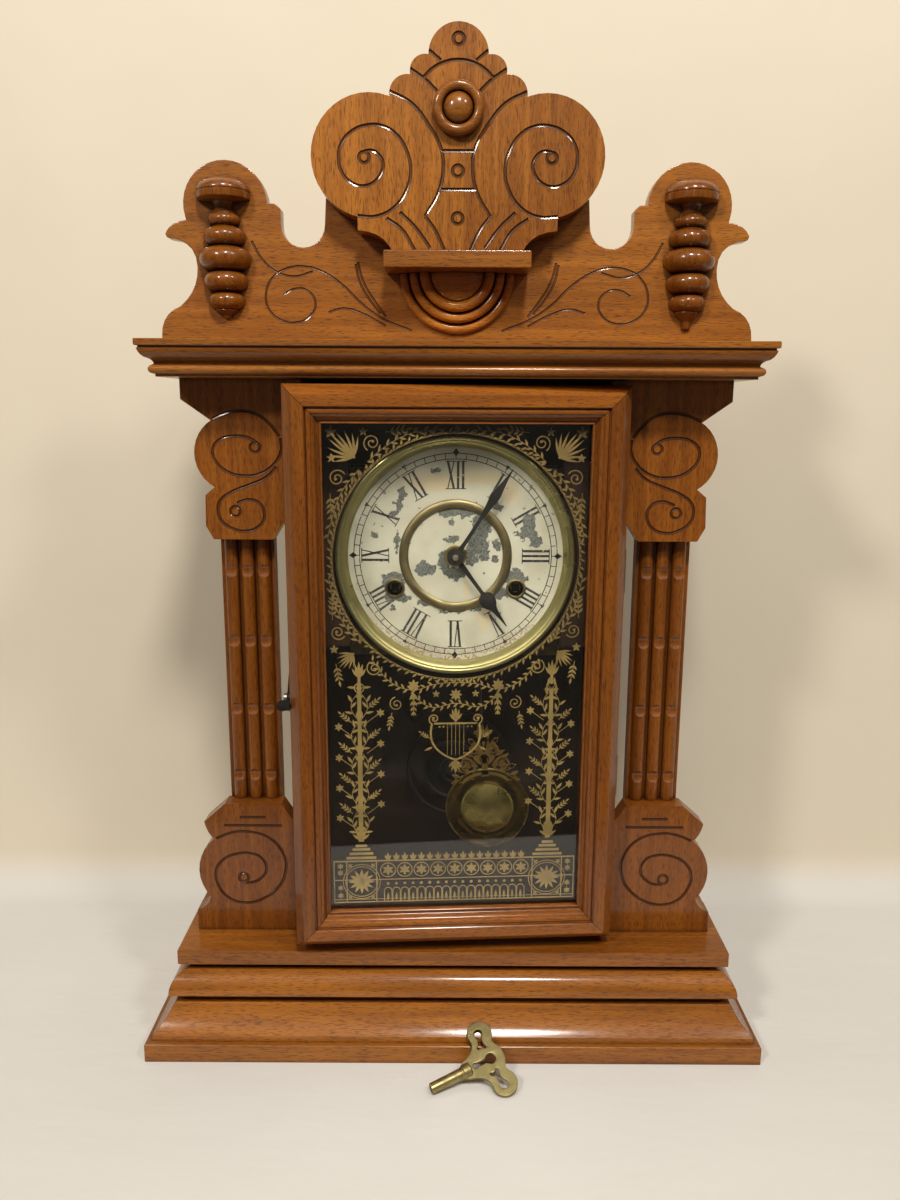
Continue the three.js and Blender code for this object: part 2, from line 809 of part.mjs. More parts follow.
function addToDoor(name, geometry, material) {
  add(name, geometry.translate(-hingeX, -hingeY, 0), material, door);
}

// Section of the door frame: inset from the outer edge, depth behind the front face
function doorSection() {
  const flatEnd = doorBevelWidth + doorFlatWidth;
  const coveStart = point(flatEnd + 0.3, 1.4);
  const coveEnd = point(flatEnd + 3.4, 3.6);
  return [
    point(0, doorThickness),
    point(0, doorBevelDepth),
    point(doorBevelWidth - 0.6, 0.7),
    point(doorBevelWidth, 0),
    point(flatEnd, 0),
    coveStart,
    ...bend(coveStart, point(flatEnd + 0.6, 3.4), coveEnd, 3),
    ...bend(coveEnd, point(doorFrameWidth - 0.6, 3.7), point(doorFrameWidth, rabbetDepth - 2), 3),
    point(doorFrameWidth, rabbetDepth),
    point(doorFrameWidth - rabbetWidth, rabbetDepth),
    point(doorFrameWidth - rabbetWidth, doorThickness),
  ];
}

function addDoorFrame() {
  const section = doorSection();
  const y = (p) => doorFront + p.y;
  for (const { name, side } of bothSides) {
    const x = (p) => side * (caseHalfWidth - p.x);
    const stile = carried(
      section,
      (p) => new THREE.Vector3(x(p), y(p), doorBottom + p.x + mitreGap),
      (p) => new THREE.Vector3(x(p), y(p), doorTop - p.x - mitreGap),
    );
    addToDoor("door_stile_" + name, stile, walnut);
  }
  const ends = [
    { name: "top", z: (p) => doorTop - p.x },
    { name: "bottom", z: (p) => doorBottom + p.x },
  ];
  for (const { name, z } of ends) {
    const rail = carried(
      section,
      (p) => new THREE.Vector3(-caseHalfWidth + p.x + mitreGap, y(p), z(p)),
      (p) => new THREE.Vector3(caseHalfWidth - p.x - mitreGap, y(p), z(p)),
    );
    addToDoor("door_rail_" + name, rail, walnut);
  }
}

function addGlass() {
  const inset = doorFrameWidth - rabbetWidth + seatGap;
  const x = caseHalfWidth - inset;
  const front = doorFront + rabbetDepth + seatGap;
  const glass = box([-x, x], [front, front + glassThickness], [doorBottom + inset, doorTop - inset]);
  addToDoor("door_glass", glass, pane);
}

// Two butt hinges on the right-hand outer faces; the pin is riveted in the case leaf
function addHinges() {
  const leafX = [caseHalfWidth, caseHalfWidth + hingeLeafThickness];
  const clear = hingeKnuckleRadius + runGap;
  const third = hingeLength / 3;
  const knuckle = (low, high) => rodAlongZ(hingeX, hingeY, hingeKnuckleRadius, low, high, 14);
  const hinges = [
    { name: "lower", centre: doorBottom + hingeInset },
    { name: "upper", centre: doorTop - hingeInset },
  ];
  for (const { name, centre } of hinges) {
    const foot = centre - hingeLength / 2;
    const [low, high] = [foot + third, foot + 2 * third];
    const caseEdge = hingeY + clear;
    const caseLeaf = joined(
      box(leafX, [caseEdge, caseEdge + hingeLeafWidth], [foot, foot + hingeLength]),
      box([leafX[0] + seatGap, leafX[1]], [hingeY, caseEdge + 1], [foot, low]),
      box([leafX[0] + seatGap, leafX[1]], [hingeY, caseEdge + 1], [high, foot + hingeLength]),
      knuckle(foot, low),
      knuckle(high, foot + hingeLength),
      rodAlongZ(hingeX, hingeY, hingePinRadius, foot, foot + hingeLength, 12),
    );
    add("hinge_case_leaf_" + name, caseLeaf, agedBrass);
    const doorEdge = hingeY - clear;
    const doorLeafX = [leafX[0] + seatGap, leafX[1] + seatGap];
    const middle = [low + seatGap, high - seatGap];
    const doorLeaf = joined(
      box(doorLeafX, [doorEdge - hingeLeafWidth, doorEdge], [foot, foot + hingeLength]),
      box(doorLeafX, [doorEdge - 1, hingeY], middle),
      knuckle(...middle),
    );
    const bore = rodAlongZ(hingeX, hingeY, hingePinRadius + 0.3, foot, foot + hingeLength, 12);
    addToDoor("hinge_door_leaf_" + name, cut(doorLeaf, bore), agedBrass);
  }
}

// Hook on the door's left edge: an arm with a notch for the stud, and a thumb piece
function addHook() {
  const pivotY = doorFront + hookPivotDepth;
  const outer = -caseHalfWidth - seatGap;
  const x = [outer - hookThickness, outer];
  const armEnd = hookReach + 3.4;
  const notch = studRadius + runGap;
  const arm = [
    point(0, -1.8),
    point(hookReach - notch, -2),
    point(hookReach - notch, notch),
    point(hookReach + notch, notch),
    point(hookReach + notch, -2),
    point(armEnd, -1.6),
    point(armEnd, 2.4),
    point(hookReach, 3.4),
    point(0, 2),
  ];
  const plate = joined(
    sideSlab(arm, ...x),
    sideSlab(disc(0, 0, 3, 20), ...x),
    sideSlab([point(-7.2, -2.6), point(0, -1.6), point(0, 1.6), point(-7.2, 0.2)], ...x),
  );
  const bored = cut(plate, rodAlongX(0, 0, 1.2 + 0.3, x[0] - 1, x[1] + 1, 14));
  const raised = bored.rotateX(radians(hookRaised)).translate(0, pivotY, hookHeight);
  const thumbFoot = hookHeight - 5.4;
  const thumb = [
    point(x[1], thumbFoot + 6.2),
    ...arc(x[0] - 2.4, thumbFoot + 2.8, 2.9, 100, 280, 10),
    point(x[1], thumbFoot + 0.6),
  ];
  const thumbY = pivotY - 6.6;
  const hook = joined(raised, frontSlab(thumb, thumbY - 0.8, thumbY + 0.8));
  addToDoor("door_hook", hook, blackSteel);
  const screw = joined(
    rodAlongX(pivotY, hookHeight, 1.2, x[0] - 0.6, -caseHalfWidth - seatGap / 2, 14),
    rodAlongX(pivotY, hookHeight, 2.6, x[0] - 1.8, x[0] - seatGap, 16),
  );
  addToDoor("hook_screw", screw, steel);
  const stud = rodAlongX(pivotY + hookReach, hookHeight, studRadius, x[0] - 1, -caseHalfWidth, 14);
  add("catch_stud", stud, steel);
}

// ---- Dial and hands ----

function addDial() {
  const bores = [-1, 1].map((side) => disc(side * windingX, windingZ, grommetBore + 0.7, 20));
  const holes = [disc(0, dialZ, hourPipeRadius + 1.4, 20), ...bores];
  const sheet = frontSlab(disc(0, dialZ, dialRadius, 56), dialFace, dialBack, holes);
  add("dial_plate", sheet, dialPaint);

  const lip = bezelSight;
  const crown = bezelRadius - 2.2;
  const ringBack = dialBack + seatGap;
  const bezel = turnedAboutY(
    [
      point(lip, dialFace - seatGap),
      point(lip, dialFace - 1.2),
      point(lip + 1.6, dialFace - 3.4),
      point(crown - 1.4, dialFace - bezelDepth + 0.5),
      point(crown, dialFace - bezelDepth),
      point(crown + 1.4, dialFace - bezelDepth + 0.9),
      point(bezelRadius, dialFace - bezelDepth + 3),
      point(bezelRadius, ringBack),
      point(dialRadius + seatGap, ringBack),
      point(dialRadius + seatGap, dialFace - seatGap),
      point(lip, dialFace - seatGap),
    ],
    56,
  );
  add("dial_bezel", bezel.translate(0, 0, dialZ), brass);

  const middle = (centreRingRadius + centreRingSight) / 2;
  const ringSeat = dialFace - seatGap;
  const ring = turnedAboutY(
    [
      point(centreRingSight, ringSeat),
      point(centreRingSight, ringSeat - 0.5),
      point(middle - 0.8, ringSeat - centreRingDepth),
      point(middle + 0.8, ringSeat - centreRingDepth),
      point(centreRingRadius, ringSeat - 0.5),
      point(centreRingRadius, ringSeat),
      point(centreRingSight, ringSeat),
    ],
    48,
  );
  add("dial_centre_ring", ring.translate(0, 0, dialZ), agedBrass);

  for (const { name, side } of bothSides) {
    const neck = grommetBore + 0.7 - seatGap;
    const grommet = turnedAboutY(
      [
        point(grommetBore, ringSeat - 1),
        point(grommetRadius - 0.4, ringSeat - 1),
        point(grommetRadius, ringSeat),
        point(neck, ringSeat),
        point(neck, dialBack + 0.6),
        point(grommetBore, dialBack + 0.6),
        point(grommetBore, ringSeat - 1),
      ],
      20,
    );
    add("winding_grommet_" + name, grommet.translate(side * windingX, 0, windingZ), brass);
    const cleatFront = ringBack + seatGap;
    const x = [side * (caseInner - cleatWidth), side * caseInner].sort((a, b) => a - b);
    const z = [dialZ - cleatLength / 2, dialZ + cleatLength / 2];
    add("dial_cleat_" + name, box(x, [cleatFront, cleatFront + cleatThickness], z), walnutInside);
  }
}

// Half widths of each hand at distances from its hub
function handOutline(length, stations) {
  const right = stations.map(([along, half]) => point(half, along * length));
  return bothHalves([point(0, -handHubRadius * 0.5), ...right, point(0, length)]);
}

function addHand(name, outline, degreesFromTwelve, front, extra) {
  const turn = radians(degreesFromTwelve);
  const blade = frontSlab(outline, front, front + handSheet);
  const hub = frontSlab(disc(0, 0, handHubRadius, 24), front - 0.4, front + handSheet + 0.2);
  const whole = cut(joined(blade, hub, ...extra), rodAlongY(0, 0, minuteArborRadius + 0.3, -60, 60));
  whole.rotateY(turn).translate(0, 0, dialZ);
  add(name, whole, blackSteel);
}

function addHands() {
  const hourFront = dialFace - 4.6;
  const hourBlade = handOutline(hourHandLength, [
    [0.02, 1.7],
    [0.5, 0.9],
    [0.54, 2.6],
    [0.58, 3.9],
    [0.66, 4],
    [0.71, 2.8],
    [0.75, 1.7],
  ]);
  const pipe = rodAlongY(0, 0, hourPipeRadius, hourFront, rodPlane - 3.2, 16);
  addHand("hour_hand", hourBlade, hourHandAngle, hourFront, [pipe]);
  const minuteFront = dialFace - 7;
  const minuteBlade = handOutline(minuteHandLength, [
    [0.02, 1.5],
    [0.42, 1],
    [0.6, 2],
    [0.68, 2.4],
    [0.76, 1.8],
  ]);
  addHand("minute_hand", minuteBlade, minuteHandAngle, minuteFront, []);
}

// ---- Movement ----

function gearOutline(radius, depth, teeth) {
  const outline = [];
  const step = (2 * Math.PI) / teeth;
  const stations = [
    [-0.3, radius - depth],
    [-0.12, radius],
    [0.12, radius],
    [0.3, radius - depth],
  ];
  for (let tooth = 0; tooth < teeth; tooth += 1) {
    for (const [share, distance] of stations) {
      const angle = step * (tooth + share);
      outline.push(point(distance * Math.cos(angle), distance * Math.sin(angle)));
    }
  }
  return outline;
}

function addMovementPlates() {
  const frontPlateBack = movementFront + plateSheet;
  const z = [dialZ - movementDrop, dialZ + movementRise];
  const w = movementHalfWidth;
  const pivotZ = dialZ + pendulumRise;
  const sheet = (y) => box([-w, w], [y, y + plateSheet], z);
  const through = (x, height, radius, y) => rodAlongY(x, height, radius, y - 1, y + plateSheet + 1, 16);
  const arborHole = windingArborRadius + runGap;
  const frontHoles = [
    through(-windingX, windingZ, arborHole, movementFront),
    through(windingX, windingZ, arborHole, movementFront),
    through(0, dialZ, minuteArborRadius + runGap, movementFront),
    through(escapeX, dialZ + escapeRise, 1.2 + runGap, movementFront),
  ];
  const pinFront = rodPlane - 3;
  const vergePinFront = movementFront - 6;
  const frontPlate = joined(
    cut(sheet(movementFront), ...frontHoles),
    rodAlongY(pendulumX, pivotZ, suspensionPinRadius, pinFront, frontPlateBack, 14),
    rodAlongY(pendulumX, pivotZ, suspensionPinRadius + 1, pinFront - 1, pinFront, 14),
    rodAlongY(pendulumX, pivotZ - vergeDrop, 0.9, vergePinFront, frontPlateBack, 14),
  );
  add("movement_plate_front", frontPlate, brass);

  const hammerHole = through(hammerX, dialZ - hammerDrop, 1.4 + runGap, platesBack);
  const pillars = [];
  for (const x of [-pillarX, pillarX]) {
    for (const height of [z[0] + pillarInset, z[1] - pillarInset]) {
      pillars.push(rodAlongY(x, height, pillarRadius, frontPlateBack + seatGap, backFace - seatGap, 14));
    }
  }
  const postOut = springRadius + springPostRadius + seatGap;
  const posts = [-windingX, windingX].map((x) =>
    rodAlongY(x + postOut, windingZ, springPostRadius, springFront, platesBack + 0.5, 12),
  );
  const backPlate = joined(cut(sheet(platesBack), hammerHole), ...pillars, ...posts);
  add("movement_plate_back", backPlate, brass);
}

function addMainWheels() {
  const wheelFront = mainWheelFront;
  const arborFront = dialBack + 1.7;
  const squareFoot = dialBack + 4;
  const arborBack = platesBack - runGap;
  const half = windingSquare / 2;
  const trains = [
    { name: "strike", x: -windingX },
    { name: "time", x: windingX },
  ];
  for (const { name, x } of trains) {
    const gear = gearOutline(mainWheelRadius, 2.2, mainWheelTeeth);
    const wheel = joined(
      frontSlab(gear, wheelFront, wheelFront + 1.8),
      rodAlongY(0, 0, windingArborRadius, squareFoot, arborBack, 16),
      rodAlongY(0, 0, 9, wheelFront + 1.8, wheelFront + 3.2, 20),
      box([-half, half], [arborFront, squareFoot], [-half, half]),
    );
    add(name + "_main_wheel", wheel.translate(x, 0, windingZ), brass);
    const spring = mainspring(springFront, springFront + springHeight);
    add(name + "_mainspring", spring.translate(x, 0, windingZ), blueSteel);
  }
}

// A wound strip, one unbroken spiral outline
function mainspring(yFront, yBack) {
  const inner = windingArborRadius + runGap;
  const steps = springTurns * 14;
  const radiusAt = (share) => inner + (springRadius - springStrip - inner) * share;
  const at = (i, extra) => {
    const share = i / steps;
    const angle = 2 * Math.PI * springTurns * share;
    const radius = radiusAt(share) + extra;
    return point(radius * Math.cos(angle), radius * Math.sin(angle));
  };
  const outside = [];
  const inside = [];
  for (let i = 0; i <= steps; i += 1) {
    outside.push(at(i, springStrip));
    inside.unshift(at(i, 0));
  }
  return frontSlab([...outside, ...inside], yFront, yBack);
}

function addCentreWheel() {
  const wheelFront = movementFront + plateSheet + 2.4;
  const gear = gearOutline(centreWheelRadius, 1.8, centreWheelTeeth);
  const wheel = joined(
    frontSlab(gear, wheelFront, wheelFront + 1.4),
    rodAlongY(0, 0, minuteArborRadius, dialFace - 9, platesBack - runGap, 14),
  );
  add("centre_wheel", wheel.translate(0, 0, dialZ), brass);
}

// Escape wheel on the front of the front plate, with the verge strip round its right side
function addEscapement() {
  const wheelFront = movementFront - 3.6;
  const gear = gearOutline(escapeRadius, 2.4, escapeTeeth);
  const wheel = joined(
    frontSlab(gear, wheelFront, wheelFront + 1.2),
    rodAlongY(0, 0, 1.2, wheelFront - 0.6, platesBack - runGap, 12),
  );
  add("escape_wheel", wheel.translate(escapeX, 0, dialZ + escapeRise), brass);

  const pivotZ = dialZ + pendulumRise - vergeDrop;
  const centre = point(escapeX - pendulumX, escapeRise - pendulumRise + vergeDrop);
  const strip = [
    ...arc(centre.x, centre.y, vergeReach + 1.2, -52, 52, 8),
    ...arc(centre.x, centre.y, vergeReach, 52, -52, 8),
  ];
  const y = [wheelFront - 0.2, wheelFront + 1.4];
  const crutchY = y[0] - 2.2;
  const fork = rodRadius + 0.5;
  const forkZ = -crutchLength;
  const armBack = centre.x + vergeReach + 0.5;
  const verge = joined(
    frontSlab(strip, ...y),
    frontSlab([point(armBack, -1), point(0, -1), point(0, 1), point(armBack, 1)], ...y),
    rodAlongY(0, 0, 2.4, crutchY - 0.8, y[1], 16),
    box([-0.7, 0.7], [crutchY - 0.7, crutchY + 0.7], [forkZ, 0]),
    box([-fork - 0.9, fork + 0.9], [crutchY - 0.7, crutchY + 0.7], [forkZ - 0.7, forkZ + 0.7]),
    box([-fork - 0.9, -fork], [rodPlane - 2, crutchY + 0.7], [forkZ - 0.7, forkZ + 0.7]),
    box([fork, fork + 0.9], [rodPlane - 2, crutchY + 0.7], [forkZ - 0.7, forkZ + 0.7]),
  );
  const bored = cut(verge, rodAlongY(0, 0, 0.9 + 0.3, -20, 20, 14));
  const crutchRatio = (vergeDrop + crutchLength) / crutchLength;
  bored.rotateY(-radians(pendulumSwing * crutchRatio)).translate(pendulumX, 0, pivotZ);
  add("verge", bored, steel);
}

// Pendulum hung from its pin, swung to the right
function addPendulum() {
  const hung = new THREE.Group();
  hung.position.set(pendulumX, 0, dialZ + pendulumRise);
  hung.rotation.y = -radians(pendulumSwing);
  clock.add(hung);
  const eye = cut(
    rodAlongY(0, 0, suspensionPinRadius + 1.6, rodPlane - 0.8, rodPlane + 0.8, 16),
    rodAlongY(0, 0, suspensionPinRadius + runGap, rodPlane - 5, rodPlane + 5, 16),
  );
  const top = -suspensionPinRadius - 1;
  const rod = joined(eye, rodAlongZ(0, rodPlane, rodRadius, -pendulumLength - 8, top, 10));
  add("pendulum_rod", rod, steel, hung);

  const bobBack = rodPlane - rodRadius - runGap;
  const middle = bobBack - bobThickness / 2;
  const profile = [
    point(0, bobBack),
    point(bobRadius * 0.6, bobBack - 0.4),
    point(bobRadius, middle + 1.2),
    point(bobRadius, middle - 0.6),
    point(bobRadius - 2.4, middle - 1.8),
    point(bobDomeRadius + 2.6, middle - 1.6),
    point(bobDomeRadius, middle - 1.2),
    point(bobDomeRadius * 0.82, middle - 2.8),
    point(bobDomeRadius * 0.45, middle - 3.8),
    point(0, middle - bobThickness / 2),
  ];
  const outline = bothHalves([
    point(0, 0),
    point(ornamentHalfWidth * 0.9, bobRadius * 0.55),
    point(ornamentHalfWidth, bobRadius * 0.8),
    point(ornamentHalfWidth * 0.55, ornamentRise * 0.55),
    point(ornamentHalfWidth * 0.42, ornamentRise * 0.75),
    point(ornamentHalfWidth * 0.25, ornamentRise * 0.94),
    point(0, ornamentRise),
  ]);
  const ornament = frontSlab(outline, middle - 0.4, middle + 0.8);
  const bob = joined(turnedAboutY(profile, 36), ornament);
  add("pendulum_bob", bob.translate(0, 0, -pendulumLength), brass, hung);
}

// ---- Gong and hammer ----

function addGong() {
  const coilY = backFace - gongStandoff;
  const postRadius = 6;
  const steps = Math.round(gongTurns * 22);
  const path = [];
  for (let i = 0; i <= steps; i += 1) {
    const share = i / steps;
    const angle = 2 * Math.PI * gongTurns * share;
    const radius = 3 + (gongRadius - 3) * share;
    path.push(new THREE.Vector3(radius * Math.cos(angle), 0, radius * Math.sin(angle)));
  }
  const curve = new THREE.CatmullRomCurve3(path);
  const wire = new THREE.Shape(disc(0, 0, gongWire / 2, 6));
  const coil = new THREE.ExtrudeGeometry(wire, { steps, extrudePath: curve, bevelEnabled: false });
  const gong = joined(
    facingOut(coil).translate(0, coilY, 0),
    rodAlongY(0, 0, postRadius, coilY - 2.4, backFace, 18),
    box([-16, 16], [backFace - 4, backFace], [-22, 14]),
  );
  add("gong", gong.translate(0, 0, gongZ), castIron);
}

function addHammer() {
  const strike = radians(hammerStrikeAngle);
  const direction = new THREE.Vector3(Math.cos(strike), 0, Math.sin(strike));
  const distance = gongRadius + gongWire / 2 + hammerGap + hammerHeadLength / 2;
  const coilY = backFace - gongStandoff;
  const head = rodAlongY(0, 0, hammerHeadRadius, -hammerHeadLength / 2, hammerHeadLength / 2, 16);
  const centre = direction.clone().multiplyScalar(distance).add(new THREE.Vector3(0, coilY, gongZ));
  const aim = new THREE.Quaternion().setFromUnitVectors(new THREE.Vector3(0, 1, 0), direction);
  head.applyQuaternion(aim).translate(centre.x, centre.y, centre.z);
  const pivot = new THREE.Vector3(hammerX, coilY, dialZ - hammerDrop);
  const wire = wireBetween(pivot, centre, 1);
  const arborFront = movementFront + plateSheet + runGap;
  const arbor = rodAlongY(hammerX, pivot.z, 1.4, arborFront, coilY + 2.4, 12);
  add("hammer", joined(arbor, wire, head), steel);
}

function wireBetween(from, to, radius) {
  const along = to.clone().sub(from);
  const wire = rodAlongZ(0, 0, radius, 0, along.length(), 8);
  const aim = new THREE.Quaternion().setFromUnitVectors(
    new THREE.Vector3(0, 0, 1),
    along.normalize(),
  );
  return wire.applyQuaternion(aim).translate(from.x, from.y, from.z);
}

// ---- Winding key ----

// Drawn in the plane of its bow: u along the barrel from its tip, v across, w through the bow
function addKey() {
  const half = keyBowThickness / 2;
  const slab = (outline) => extruded(outline, keyBowThickness, []).translate(0, 0, -half);
  const collarEnd = keyBarrelLength + keyCollarLength;
  const arms = [
    point(collarEnd - 2, -keyCollarRadius),
    point(collarEnd + 3, -keyCollarRadius - 1),
    point(keyLobeX - keyLobeRadius * 0.7, -keyLobeSpread - keyLobeRadius * 0.7),
    point(keyLobeX + keyLobeRadius * 0.8, -keyLobeSpread + keyLobeRadius * 0.6),
    point(keyBowCentre + keyBowRadius * 0.7, -keyBowRadius * 0.7),
  ];
  const across = arms.map((p) => point(p.x, -p.y)).reverse();
  const bow = [
    slab([...arms, ...across]),
    slab(disc(keyBowCentre, 0, keyBowRadius, 28)),
    slab(disc(keyLobeX, keyLobeSpread, keyLobeRadius, 24)),
    slab(disc(keyLobeX, -keyLobeSpread, keyLobeRadius, 24)),
  ];
  const alongU = (radius, from, to) =>
    facingOut(rodAlongY(0, 0, radius, from, to, 18).rotateZ(-Math.PI / 2));
  const blank = joined(
    ...bow,
    alongU(keyBarrelRadius, 0, keyBarrelLength + 1),
    alongU(keyCollarRadius, keyBarrelLength, collarEnd),
  );
  const square = keyBoreSize / 2;
  const through = 2 * keyBarrelRadius;
  const slot = keySlotWidth / 2;
  const window = (side) => [
    point(keyBowCentre - 2.4 * slot, side * (keyBowRadius + 0.5)),
    point(keyBowCentre - 0.6 * slot, side * (keyBowRadius + 1.5)),
    point(keyLobeX + 0.9 * slot, side * (keyLobeSpread + 0.2 * slot)),
    point(keyLobeX, side * (keyLobeSpread + slot)),
    point(keyLobeX - slot, side * (keyLobeSpread + 0.2 * slot)),
  ];
  const cutter = (outline) => extruded(outline, through, []).translate(0, 0, -keyBarrelRadius);
  const key = cut(
    blank,
    box([-1, keyBoreDepth], [-square, square], [-square, square]).rotateX(Math.PI / 4),
    cutter(disc(keyBowCentre, 0, keyholeRadius, 18)),
    cutter([
      point(keyBowCentre - keyholeTail, -keyholeRadius * 0.3),
      point(keyBowCentre, -keyholeRadius * 0.6),
      point(keyBowCentre, keyholeRadius * 0.6),
      point(keyBowCentre - keyholeTail, keyholeRadius * 0.3),
    ]),
    cutter(window(1)),
    cutter(window(-1).reverse()),
  );
  const lying = new THREE.Group();
  lying.position.set(keyTip.x, keyTip.y, keyTip.z);
  lying.rotation.set(radians(keyTiltOfBow), 0, 0);
  const turned = new THREE.Group();
  turned.rotation.z = radians(keyTurn);
  lying.add(turned);
  clock.add(lying);
  add("winding_key", key, agedBrass, turned);
}

addBase();
addCase();
addCornice();
addBracketsAndColumns();
addCrest();
addDoorFrame();
addGlass();
addHinges();
addHook();
addDial();
addHands();
addMovementPlates();
addMainWheels();
addCentreWheel();
addEscapement();
addPendulum();
addGong();
addHammer();
addKey();

export default clock;
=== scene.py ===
import json
import math
from contextlib import contextmanager

import bmesh
import bpy
from mathutils import Matrix, Vector


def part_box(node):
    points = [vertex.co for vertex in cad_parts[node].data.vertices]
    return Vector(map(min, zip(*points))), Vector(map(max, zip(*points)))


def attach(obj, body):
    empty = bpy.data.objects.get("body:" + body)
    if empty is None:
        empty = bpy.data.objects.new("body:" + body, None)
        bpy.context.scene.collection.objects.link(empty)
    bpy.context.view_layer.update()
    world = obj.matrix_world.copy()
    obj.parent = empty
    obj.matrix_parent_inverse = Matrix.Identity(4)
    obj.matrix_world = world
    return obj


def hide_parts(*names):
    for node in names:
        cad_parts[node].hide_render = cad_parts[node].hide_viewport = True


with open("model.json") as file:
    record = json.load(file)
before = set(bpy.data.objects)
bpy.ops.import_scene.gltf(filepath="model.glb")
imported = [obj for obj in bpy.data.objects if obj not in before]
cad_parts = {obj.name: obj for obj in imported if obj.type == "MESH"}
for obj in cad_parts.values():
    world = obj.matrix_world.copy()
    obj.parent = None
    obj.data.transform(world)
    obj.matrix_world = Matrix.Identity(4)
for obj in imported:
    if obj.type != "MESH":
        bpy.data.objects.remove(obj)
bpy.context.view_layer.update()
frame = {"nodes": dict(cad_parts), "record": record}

# ---- The view ----
# The clock is seen from about half a metre, from a little above the middle of its door,
# looking down at it, with the head of the picture leaning very slightly to the right.
camera_data = bpy.data.cameras.new("camera")
camera_data.sensor_fit = "AUTO"
camera_data.sensor_width = 36
camera_data.lens = 28.5
camera = bpy.data.objects.new("camera", camera_data)
bpy.context.scene.collection.objects.link(camera)
camera_place = (-0.0029, -0.544, 0.3693)
camera_tilt, camera_lean = 78.6, 0.3  # degrees up from straight down, and round the view
camera.matrix_world = (
    Matrix.Translation(camera_place)
    @ Matrix.Rotation(math.radians(camera_tilt), 4, "X")
    @ Matrix.Rotation(math.radians(camera_lean), 4, "Z")
)
bpy.context.scene.camera = camera
bpy.context.scene.view_settings.view_transform = "Standard"

# ---- Table, backdrop and lights ----
# A plain white cloth-covered table runs back to a plain cream wall. Three soft lamps hang in
# front and overhead, as ceiling lamps do in a living room.


class Nodes:
    """A node tree being put together: makes nodes and links their sockets."""

    def __init__(self, tree):
        self.tree = tree

    def add(self, kind, inputs=(), **settings):
        node = self.tree.nodes.new(kind)
        for name, value in settings.items():
            setattr(node, name, value)
        for key, value in dict(inputs).items():
            self.feed(node.inputs[key], value)
        return node

    def feed(self, socket, value):
        if isinstance(value, bpy.types.NodeSocket):
            self.tree.links.new(value, socket)
        else:
            socket.default_value = value

    def math(self, operation, *values):
        return self.add("ShaderNodeMath", dict(enumerate(values)), operation=operation).outputs[0]

    def times(self, a, b):
        return self.math("MULTIPLY", a, b)

    def vector(self, operation, *values):
        return self.add("ShaderNodeVectorMath", dict(enumerate(values)), operation=operation).outputs[0]

    def scaled(self, vector, factors):
        return self.vector("MULTIPLY", vector, factors)

    def length(self, vector):
        return self.add("ShaderNodeVectorMath", {0: vector}, operation="LENGTH").outputs["Value"]

    def part(self, vector, axis):
        return self.add("ShaderNodeSeparateXYZ", {0: vector}).outputs[axis]

    def mix(self, factor, a, b, blend="MIX"):
        node = self.add("ShaderNodeMix", data_type="RGBA", blend_type=blend)
        self.feed(node.inputs[0], factor)
        self.feed(node.inputs[6], a)
        self.feed(node.inputs[7], b)
        return node.outputs[2]

    def step(self, value, low, high):
        """0 below low, 1 above high, and smooth between them."""
        inputs = {"Value": value, "From Min": low, "From Max": high}
        return self.add("ShaderNodeMapRange", inputs, interpolation_type="SMOOTHSTEP").outputs[0]

    def noise(self, vector, scale, detail=2.0, roughness=0.5):
        inputs = {"Vector": vector, "Scale": scale, "Detail": detail, "Roughness": roughness}
        return self.add("ShaderNodeTexNoise", inputs).outputs[0]

    def place(self):
        return self.add("ShaderNodeTexCoord").outputs["Object"]

    def bump(self, height, distance, strength=1.0):
        inputs = {"Height": height, "Distance": distance, "Strength": strength}
        return self.add("ShaderNodeBump", inputs).outputs[0]


def new_material(name):
    material = bpy.data.materials.new(name)
    material.use_nodes = True
    material.node_tree.nodes.clear()
    nodes = Nodes(material.node_tree)
    shader = nodes.add("ShaderNodeBsdfPrincipled")
    out = nodes.add("ShaderNodeOutputMaterial", {"Surface": shader.outputs[0]})
    return material, nodes, shader, out


def linked(name, data):
    obj = bpy.data.objects.new(name, data)
    bpy.context.scene.collection.objects.link(obj)
    return obj


def mesh_object(name, vertices, faces, material=None):
    """A mesh object whose place is in its mesh, from points in metres."""
    mesh = bpy.data.meshes.new(name)
    mesh.from_pydata(vertices, [], faces)
    mesh.update()
    if material:
        mesh.materials.append(material)
    return linked(name, mesh)


